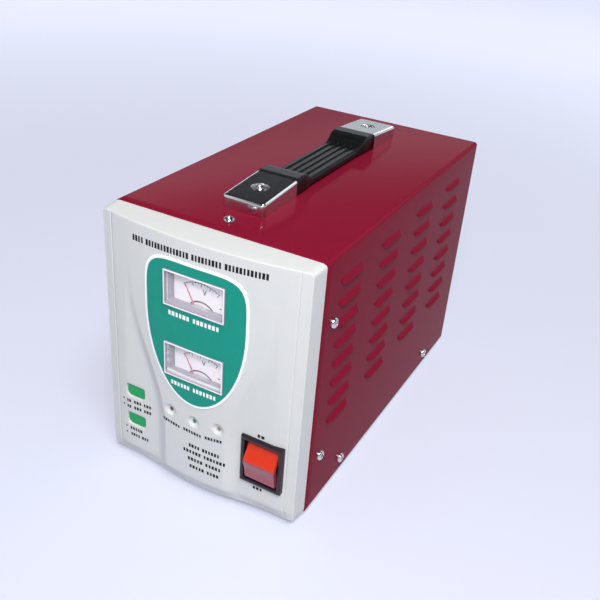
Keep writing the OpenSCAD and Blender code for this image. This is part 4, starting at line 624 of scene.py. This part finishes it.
def meterBlock(name, z0, node):
    # Window frame and walls, back box, window, dial with its scale, pivot hood and needle.
    w, h, t, fit = meter["w"], meter["h"], meter["wall"], meter["fit"]
    face = front["crown"] + panel["t"] + meter["proud"]
    dialY = meter["depth"] - face
    at, pivot = (0, z0), np.array([0.0, z0 - dial["pivot"]])
    outer, lip, mouth, inner = (roundRect(w + grow, h + grow, meter["corner"], 3)
                                for grow in (0, -2 * meter["round"], 0.3 - 2 * t, -2 * t))
    tube = loft([facing(outer, -meter["tubeBack"], at), facing(outer, meter["round"] - face, at),
                 facing(lip, -face, at), facing(mouth, -face, at), facing(inner, 0.2 - face, at),
                 facing(inner, dialY, at)], False, False)
    obj = addPiece(name + "Frame", *tube, meterShadeGrey, "meter_plastic", nodes=[node + "_meter_case"])
    # The frame's front keeps the pale plastic, and its walls into the window take the darker grey as painted shade.
    depth = tube[0][np.array(tube[1])][..., 1].mean(1)
    secondLook(obj, meterPlastic, depth < 0.3 - face)
    addPiece(name + "Box", *block((-meter["boxHalf"], dialY, z0 - meter["boxDown"]),
                                  (meter["boxHalf"], dialY + meter["boxT"], z0 + meter["boxUp"])),
             meterShadeGrey, "meter_plastic")
    lensY = meter["lensDrop"] - face
    addPiece(name + "Window", *block((t - w / 2, lensY, z0 - h / 2 + t),
                                     (w / 2 - t, lensY + meter["lensT"], z0 + h / 2 - t)),
             clearWindow, "clear_window", nodes=[node + "_meter_lens"])
    card = w / 2 - t - meter["cardSide"]
    addPiece(name + "Dial", *block((-card, dialY - fit, z0 - h / 2 + t + fit),
                                   (card, dialY + meter["cardT"], z0 + h / 2 - t - meter["cardTop"])),
             dialCard, "dial_card", nodes=[node + "_meter_dial"])
    addPiece(name + "Scale", *join(dialPrint(pivot, z0, dialY - fit)), scaleInk, "dark_plastic")
    a = np.radians(np.linspace(-pointer["hoodTurn"], pointer["hoodTurn"], 41))
    arc = pivot + pointer["hood"] * np.stack([np.sin(a), np.cos(a)], 1)
    base = z0 - h / 2 + t - 0.6
    hood = np.concatenate([arc, [[arc[-1][0], base], [arc[0][0], base]]])
    smaller = (hood - pivot) * 0.965 + pivot
    lid = dialY - pointer["hoodFront"]
    addPiece(name + "Hood", *loft([facing(hood, lid + 0.5), facing(hood, lid + 0.15), facing(smaller, lid)]),
             hoodGrey, "dark_plastic", nodes=[node + "_pivot_cover"], sharp=30)
    addPiece(name + "Needle", *join(needle(pivot, dialY - pointer["ahead"])), needleRed, "needle_paint",
             body=node + "_pointer", nodes=[node + "_needle"])


def meters():
    meterBlock("upperMeter", meter["high"], "upper")
    meterBlock("lowerMeter", meter["high"] - meter["pitch"], "lower")


# Lamps

lamps = {"pitch": 15.5, "z": 47.0, "rise": 1.4, "r": 1.5, "dish": 3.8, "lip": 0.2, "deep": 1.4, "sink": 0.7,
         "base": 1.9, "shoulder": 4.2, "back": 5.2}


def lampDomes():
    # Three small domes, each on a wider base behind the front's wall, as rings of a radius and a depth.
    turn = np.radians([0, 15, 30, 45, 60, 75, 86])
    base, r = lamps["base"], lamps["r"]
    dome = [(base, lamps["back"]), (base, lamps["shoulder"]), (r, lamps["shoulder"]),
            *zip(r * np.cos(turn), r * (1 - np.sin(turn)))]
    for i, (name, look) in enumerate((("red", redLens), ("green", greenLens), ("yellow", yellowLens))):
        at = ((i - 1) * lamps["pitch"], lamps["z"] + abs(i - 1) * lamps["rise"])
        rings = [facing(r * circle(32), lamps["sink"] - arcReach(at[0]) + s, at) for r, s in dome]
        addPiece(name + "Lamp", *loft(rings), look, name + "_lens", nodes=[name + "_lamp"], sharp=50)


# Push buttons

button = {"w": 12.2, "h": 7.6, "x": -42.5, "z": [46.7, 26.7], "sink": 0.8, "gap": 0.3, "low": 2.8, "high": 1.0,
          "lip": 0.3, "wall": 2.4, "l": 3.2}


def pushButtons():
    # Two flat caps with a rounded edge and a faint hollow.
    for name, node, body, z in (("rangeButton", "range_button", "upper_button", button["z"][0]),
                                ("delayButton", "delay_button", "lower_button", button["z"][1])):
        loops = [facing(buttonOutline(grow), button["sink"] - front["wing"] + drop, (button["x"], z))
                 for grow, drop in ((0, button["l"]), (0, 0.45), (-0.12, 0.15), (-0.45, 0), (-1.1, 0.05))]
        addPiece(name, *loft(loops), buttonGreen, "green_plastic", body=body, nodes=[node], sharp=50)


# Power switch

switch = {"w": 25.6, "h": 30.8, "x": 41.6, "z": 34.9, "face": 2.0, "rim": 2.4, "body": (11.0, 14.0),
          "lap": 0.2, "seat": 12.2, "back": 20.0, "well": 11.0, "tilt": 10.0, "pivot": 6.2}
rocker = {"w": 18.9, "half": 12.1, "crest": 9.5, "slope": 24, "hollow": 0.35, "ridge": 0.25, "ridgeR": 0.8,
          "side": 3.5, "end": 3.2, "round": 0.4, "wall": 1.4}


def switchFrame():
    # A bevelled border with a deep well, and the body behind the wall.
    w, h, at = switch["w"], switch["h"], (switch["x"], switch["z"])
    seat, face = -switch["seat"], -front["wing"] - switch["face"]
    inW, inH = w - 2 * switch["rim"], h - 2 * switch["rim"]
    loops = [facing(roundRect(a, b, r), y, at) for a, b, r, y in (
        (w, h, 0.6, seat), (w, h, 0.6, face + 0.7), (w - 0.9, h - 0.9, 0.6, face + 0.12),
        (w - 1.5, h - 1.5, 0.6, face), (inW + 0.7, inH + 0.7, 0.5, face), (inW + 0.2, inH + 0.2, 0.4, face + 0.2),
        (inW, inH, 0.3, face + 0.6), (inW, inH, 0.3, face + switch["well"]))]
    addPiece("switchFrame", *loft(loops, False, True), switchBlack, "switch_plastic", nodes=["switch_housing"],
             sharp=40)
    wide, tall = switch["body"]
    addPiece("switchBody", *block((at[0] - wide, seat, at[1] - tall),
                                  (at[0] + wide, face + switch["back"], at[1] + tall)),
             plasticBlack, "switch_plastic")


def powerRocker():
    # Two faintly hollow faces that meet at a ridge, tilted with the top pressed in. The lower half's darker red is
    # painted shade.
    half, w, rim = rocker["half"], rocker["w"], rocker["round"]
    z = np.linspace(-1, 1, 41) * half
    y = -rocker["crest"] + np.abs(z) * math.tan(math.radians(rocker["slope"]))
    y += rocker["hollow"] * np.sin(np.pi * np.abs(z) / half) ** 2
    y += rocker["ridge"] * np.exp(-(z / rocker["ridgeR"]) ** 2)
    edge = np.array([0, 0, 0.25, 0.8])
    xs = np.concatenate([edge - w / 2, np.linspace(2 - w / 2, w / 2 - 2, 9), w / 2 - edge[::-1]])
    drop = np.array([rocker["side"], 0.8, 0.2, 0.0])
    sink = np.concatenate([drop, np.zeros(9), drop[::-1]])
    z = np.concatenate([[-half - rim, -half - 0.35], z, [half + 0.35, half + rim]])
    y = np.concatenate([[y[0] + rocker["end"], y[0] + 0.35], y, [y[-1] + 0.35, y[-1] + rocker["end"]]])
    y, tilt = y + sink[:, None], math.radians(-switch["tilt"])
    points = np.stack(np.broadcast_arrays(
        xs[:, None] + switch["x"],
        y * math.cos(tilt) - z * math.sin(tilt) - front["wing"] - switch["face"] + switch["pivot"],
        y * math.sin(tilt) + z * math.cos(tilt) + switch["z"]), -1)
    faces = gridFaces(len(xs), len(z))
    obj = addPiece("powerRocker", points, faces, moltenRed, "red_plastic", body="rocker", nodes=["power_rocker"],
                   sharp=40, wall=rocker["wall"])
    # The lower half takes the darker copy of the red as painted shade.
    secondLook(obj, paintedShadeRed, np.tile(z, len(xs))[faces].mean(1) < 0)


def powerSwitch():
    switchFrame()
    powerRocker()


# Carrying handle

handle = {"start": 24.8, "l": 169.5, "capW": 25.6, "capL": 34.0, "capH": 10.2, "nose": 2.6, "inset": 17.0,
          "dish": 4.9, "seat": 3.9, "seatDrop": 2.2, "corner": 2.4, "edge": 1.5, "capWall": 0.9, "strapW": 22.4,
          "strapT": 3.4, "gap": 1.4, "ribs": 5, "ribH": 0.8, "ribsFrom": 50, "ribsFade": 8}
# The strap's height above and below, at these places along its half; the last place is the handle's middle.
strap = {"at": [6, 33.8, 34.3, 35.1, 36.5, 43.5, 47, 50, 53, 56.5],
         "top": [3.2, 3.2, 9.6, 10.6, 10.8, 10.7, 9.7, 7.8, 5.9],
         "under": [0.4, 0.4, 0.5, 0.6, 0.7, 0.8, 1.0, 1.2], "wideAt": [6, 33.8, 34.3, 47, 54],
         "half": [9.5, 9.5, 11.8, 11.8], "bend": (43, 66)}
screws = {"r": 3.0, "h": 2.1, "shaft": 5.0, "capR": 3.6, "capH": 2.3, "capShaft": 14, "side": [
    (12.5, 32.5), (12.5, 117.5), (42.5, 9.0), (177.5, 9.0)], "top": 12.5}


def onHandle(points, rear):
    # Points drawn from the handle's front end, or mirrored to its rear end.
    p = np.asarray(points, float).copy()
    p[:, 1] = handle["start"] + (handle["l"] - p[:, 1] if rear else p[:, 1])
    p[:, 2] += case["h"]
    return p


def handleCap(name, rear, node):
    # A rounded cover, open at its mouth, with a dished seat for its screw. Its top slopes down to the nose.
    w, l, h, inset = handle["capW"], handle["capL"], handle["capH"], handle["inset"]
    corner, r, edge, lip = handle["corner"], handle["dish"], handle["edge"], 0.2

    def top(y):
        return h - handle["nose"] + handle["nose"] * y / l

    back = roundRect(w, 2 * l, [corner, corner, 0.001, 0.001], 8)[:16] + [0, l]
    path = np.concatenate([[[-w / 2, l]], back, [[w / 2, l]]])
    way = path - np.clip(path, [corner - w / 2, corner], [w / 2 - corner, l])
    way /= np.maximum(np.linalg.norm(way, axis=1), 1e-9)[:, None]
    rows = [np.column_stack([path, np.zeros(len(path))])]
    for turn in np.radians([0, 22, 45, 68, 90]):
        p = path - way * edge * (1 - math.cos(turn))
        rows.append(np.column_stack([p, top(p[:, 1]) - edge * (1 - math.sin(turn))]))
    p = path - way * (edge + lip)
    rows.append(np.column_stack([p, top(p[:, 1])]))
    ring = circle(48)
    flat, fill = fillRings(p, (r + lip) * ring + [0, inset])
    lipZ, seat = top(inset + r * ring[:, 1]), np.full(len(ring), h - handle["nose"] - handle["seatDrop"])
    loops = [np.column_stack([a * ring + [0, inset], z]) for a, z in (
        (r + lip, top(inset + (r + lip) * ring[:, 1])), (r, lipZ), (r - 0.15, lipZ - 0.12),
        (handle["seat"] + 0.25, seat + 0.2), (handle["seat"], seat), (1.6, seat))]
    points, faces = join([(np.concatenate(rows), gridFaces(len(rows), len(path))),
                          (np.column_stack([flat, top(flat[:, 1])]), fill), loft(loops, False, False)])
    addPiece(name, onHandle(points, rear), faces, brightChrome, "bright_chrome", nodes=[node], sharp=30,
             merge=0.003, wall=handle["capWall"])


def strapHalf(name, rear, nodes):
    # Half of the strap: a tab in the cap, a humped shoulder, and a ribbed flat that runs to the middle.
    gap, middle = handle["gap"], handle["l"] / 2
    knots = np.array(strap["at"] + [middle])
    ys = np.unique(np.concatenate([knots, np.arange(35, 57, 0.8), np.linspace(57, middle, 24)]))
    high = np.interp(ys, knots, strap["top"] + [gap + handle["strapT"]] * 2)
    low = np.interp(ys, knots, strap["under"] + [gap] * 3)
    for step in range(3):
        mean = np.convolve(np.pad(high, 1, mode="edge"), [0.25, 0.5, 0.25], mode="valid")
        high = np.where((ys > 37) & (ys < 58), mean, high)
    half = np.interp(ys, strap["wideAt"] + [middle], strap["half"] + [handle["strapW"] / 2] * 2)
    mids = np.linspace(-0.8, 0.8, handle["ribs"])
    across = np.concatenate([[-1, -0.985], (mids[:, None] + [-0.105, -0.075, 0.075, 0.105]).ravel(), [0.985, 1]])
    rib = np.concatenate([[0, 0], np.tile([0, 1, 1, 0], handle["ribs"]), [0, 0]])
    drop = np.where(np.abs(across) == 1, 0.3, 0)
    grow = wave((ys - handle["ribsFrom"]) / handle["ribsFade"]) * handle["ribH"]

    def row(x, z):
        return np.stack([half[:, None] * x, np.repeat(ys[:, None], len(x), 1), z], 2)

    loops = np.concatenate([row(across, high[:, None] + rib * grow[:, None] - drop),
                            row(np.array([1, 0.985, -0.985, -1]), low[:, None] + [0.3, 0, 0, 0.3])], 1)
    points, faces = loft(loops)
    obj = addPiece(name, onHandle(points, rear), faces, strapBlack, "strap_rubber", body=None, nodes=nodes, sharp=38)
    a, b = (tuple(place(onHandle([[0, y, 3]], rear))[0]) for y in strap["bend"])
    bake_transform(obj)


def panHeads(name, spots, r, h, node, shaft):
    # Pan-head screws with a cross recess: each spot is its place, its outward axis and its turn. The last
    # rings close in to the recess's outline.
    ring = circle(48)
    big, small = np.abs(ring).max(1), np.abs(ring).min(1)
    cross = np.minimum(np.minimum(0.6 * r / big, 0.16 * r / np.maximum(small, 1e-6)), 0.6 * r)
    rings = [(r * 0.45, -shaft), (r * 0.45, 0), (r, 0), (r, h * 0.35), (r * 0.93, h * 0.66), (r * 0.78, h * 0.88),
             (r * 0.66, h * 0.96), (cross, h), (cross * 0.9, h * 0.8), (cross * 0.55, h * 0.35)]
    shape, faces = loft([np.column_stack([(a * ring.T).T, np.full(len(ring), z)]) for a, z in rings])
    parts = []
    for centre, axis, turn in spots:
        axis = np.array(axis, float)
        side = np.array([0, 1, 0]) if abs(axis[1]) < 0.5 else np.array([1, 0, 0])
        other = np.cross(axis, side)
        side, other = side * math.cos(turn) + other * math.sin(turn), other * math.cos(turn) - side * math.sin(turn)
        parts.append((np.array(centre) + shape @ np.array([side, other, axis]), faces))
    addPiece(name, *join(parts), zincPlate, "screw_steel", nodes=[node], sharp=40)


def carryingHandle():
    # The caps, the strap, a screw in each cap, and the cover's screws: four on each side and one on its top.
    handleCap("frontCap", False, "front_handle_cap")
    handleCap("rearCap", True, "rear_handle_cap")
    strapHalf("strapFront", False, ["strap_front_end", "strap_grip"])
    strapHalf("strapRear", True, ["strap_rear_end"])
    seat = case["h"] + handle["capH"] - handle["nose"] - 1.9
    ends = handle["start"] + handle["inset"], handle["start"] + handle["l"] - handle["inset"]
    panHeads("handleScrews", [((0, y, seat), (0, 0, 1), turn) for y, turn in zip(ends, (0.5, 0.9))],
             screws["capR"], screws["capH"], "handle_screws", screws["capShaft"])
    spots = [((0, screws["top"], case["h"]), (0, 0, 1), 0.4)]
    spots += [((s * case["w"] / 2, y, z), (s, 0, 0), 0.3 + 0.7 * k)
              for s in (-1, 1) for k, (y, z) in enumerate(screws["side"])]
    panHeads("coverScrews", spots, screws["r"], screws["h"], "cover_screws", screws["shaft"])


# Stage, light and camera, in metres

floorLook = {"color": (172, 175, 190), "half": 5.0, "glow": (222, 225, 244), "from": 0.30, "to": 1.5,
             "near": 0.42, "far": 0.76}
skyLook = {"backdrop": (226, 229, 246), "low": (0.50, 0.53, 0.58), "high": (0.035, 0.035, 0.04),
           "from": 0.30, "to": 0.375}
# Each soft box: its place, its width and height, its power in watts and its tint.
softBoxes = {"key": ((0.27, -0.56, 0.66), 0.15, 0.15, 5.4, (1, 0.98, 0.96)),
             "left": ((-0.9, -0.7, 0.8), 0.8, 0.8, 1.5, (0.96, 0.98, 1)),
             "back": ((0.5, 1.0, 0.9), 0.8, 0.8, 2.5, (0.96, 0.98, 1)),
             "behind": ((-0.75, 1.50, 0.72), 2.2, 0.14, 2.2, (0.93, 0.95, 1))}
light = {"aim": (0, 0, 0.08), "sun": 1.55, "sunSpread": 22, "sunWay": (-0.42, 0.35, -1)}
# The camera fitted to the photograph: angles in degrees, focal length in pixels of a 600-pixel frame, and
# place in case millimetres.
view = {"azimuth": 26.559, "elevation": 29.761, "roll": 4.668, "focal": 796.117, "eye": (197.8, -296.7, 321.5)}


def paleFloor():
    # Far from the object the floor glows evenly, for the camera, in mirrors and through windows only.
    mesh = bpy.data.meshes.new("floor")
    s = floorLook["half"]
    mesh.from_pydata([(-s, -s, 0), (s, -s, 0), (s, s, 0), (-s, s, 0)], [], [(0, 1, 2, 3)])
    look = finish("paleFloor", screenColor(*floorLook["color"]), 0.6, mottle=0.01, mottleSize=200)
    tree = look.node_tree
    away = addNode(tree, "VectorMath", {0: addNode(tree, "TexCoord")["Object"]}, operation="LENGTH")["Value"]
    far = addNode(tree, "MapRange", {"Value": away, "From Min": floorLook["from"], "From Max": floorLook["to"],
                                     "To Min": floorLook["near"], "To Max": floorLook["far"]},
                  interpolation_type="SMOOTHSTEP")["Result"]
    path = addNode(tree, "LightPath")
    rays = addNode(tree, "Math", {0: path["Is Camera Ray"], 1: path["Is Glossy Ray"]}, operation="ADD")[0]
    rays = addNode(tree, "Math", {0: rays, 1: path["Is Transmission Ray"]}, operation="ADD", use_clamp=True)[0]
    glow = addNode(tree, "Math", {0: rays, 1: far}, operation="MULTIPLY")[0]
    fillNode(tree, tree.nodes["Principled BSDF"], {"Emission Color": (*screenColor(*floorLook["glow"]), 1),
                                                   "Emission Strength": glow})
    mesh.materials.append(look)
    floor = addObject("floor", mesh)


def studioSky():
    # A sky that is pale near the horizon and dark overhead, with an even backdrop for the camera alone.
    world = bpy.data.worlds.new("studio")
    bpy.context.scene.world = world
    world.use_nodes = True
    tree = world.node_tree
    height = addNode(tree, "SeparateXYZ", {"Vector": addNode(tree, "TexCoord")["Generated"]})["Z"]
    fade = addNode(tree, "MapRange", {"Value": height, "From Min": skyLook["from"], "From Max": skyLook["to"]},
                   interpolation_type="SMOOTHSTEP")["Result"]
    sky = addNode(tree, "Mix", {"Factor": fade, "A": (*skyLook["low"], 1), "B": (*skyLook["high"], 1)},
                  data_type="RGBA")["Result"]
    shown = addNode(tree, "Mix", {"Factor": addNode(tree, "LightPath")["Is Camera Ray"], "A": sky,
                                  "B": (*screenColor(*skyLook["backdrop"]), 1)}, data_type="RGBA")["Result"]
    fillNode(tree, tree.nodes["Background"], {"Color": shown})


def hang(name, data, way, at=(0, 0, 0)):
    # Places a light that shines along way.
    lamp = addObject(name, data)
    lamp.location = at
    lamp.rotation_euler = Vector(way).to_track_quat("-Z", "Y").to_euler()


def studioLights():
    # Four soft boxes aimed at the object, and a soft sun.
    for name, (at, wide, high, power, tint) in softBoxes.items():
        data = bpy.data.lights.new(name, "AREA")
        data.shape = "RECTANGLE"
        data.size, data.size_y, data.energy, data.color = wide, high, power, tint
        hang(name, data, Vector(light["aim"]) - Vector(at), at)
    data = bpy.data.lights.new("soft", "SUN")
    data.energy, data.angle = light["sun"], math.radians(light["sunSpread"])
    hang("soft", data, light["sunWay"])


def photoCamera():
    az, el, roll = (math.radians(view[k]) for k in ("azimuth", "elevation", "roll"))
    back = Vector((math.sin(az) * math.cos(el), -math.cos(az) * math.cos(el), math.sin(el)))
    right = Vector((math.cos(az), math.sin(az), 0))
    up = back.cross(right)
    right, up = right * math.cos(roll) + up * math.sin(roll), up * math.cos(roll) - right * math.sin(roll)
    data = bpy.data.cameras.new("photoCamera")
    data.sensor_width = 36
    data.lens = view["focal"] / 600 * data.sensor_width
    data.clip_start, data.clip_end = 0.01, 20
    camera = addObject("photoCamera", data)
    turn = Matrix((right, up, back)).transposed().to_4x4()
    camera.matrix_world = Matrix.Translation(Vector(place([view["eye"]])[0])) @ turn
    bpy.context.scene.camera = camera


def studio():
    paleFloor()
    studioSky()
    studioLights()
    photoCamera()
    bpy.context.scene.view_settings.view_transform = "Standard"


for build in (coverSheet, frontMoulding, tealPanel, printing, meters, lampDomes, pushButtons, powerSwitch,
              carryingHandle, studio):
    build()
    print(build.__name__, "ready")
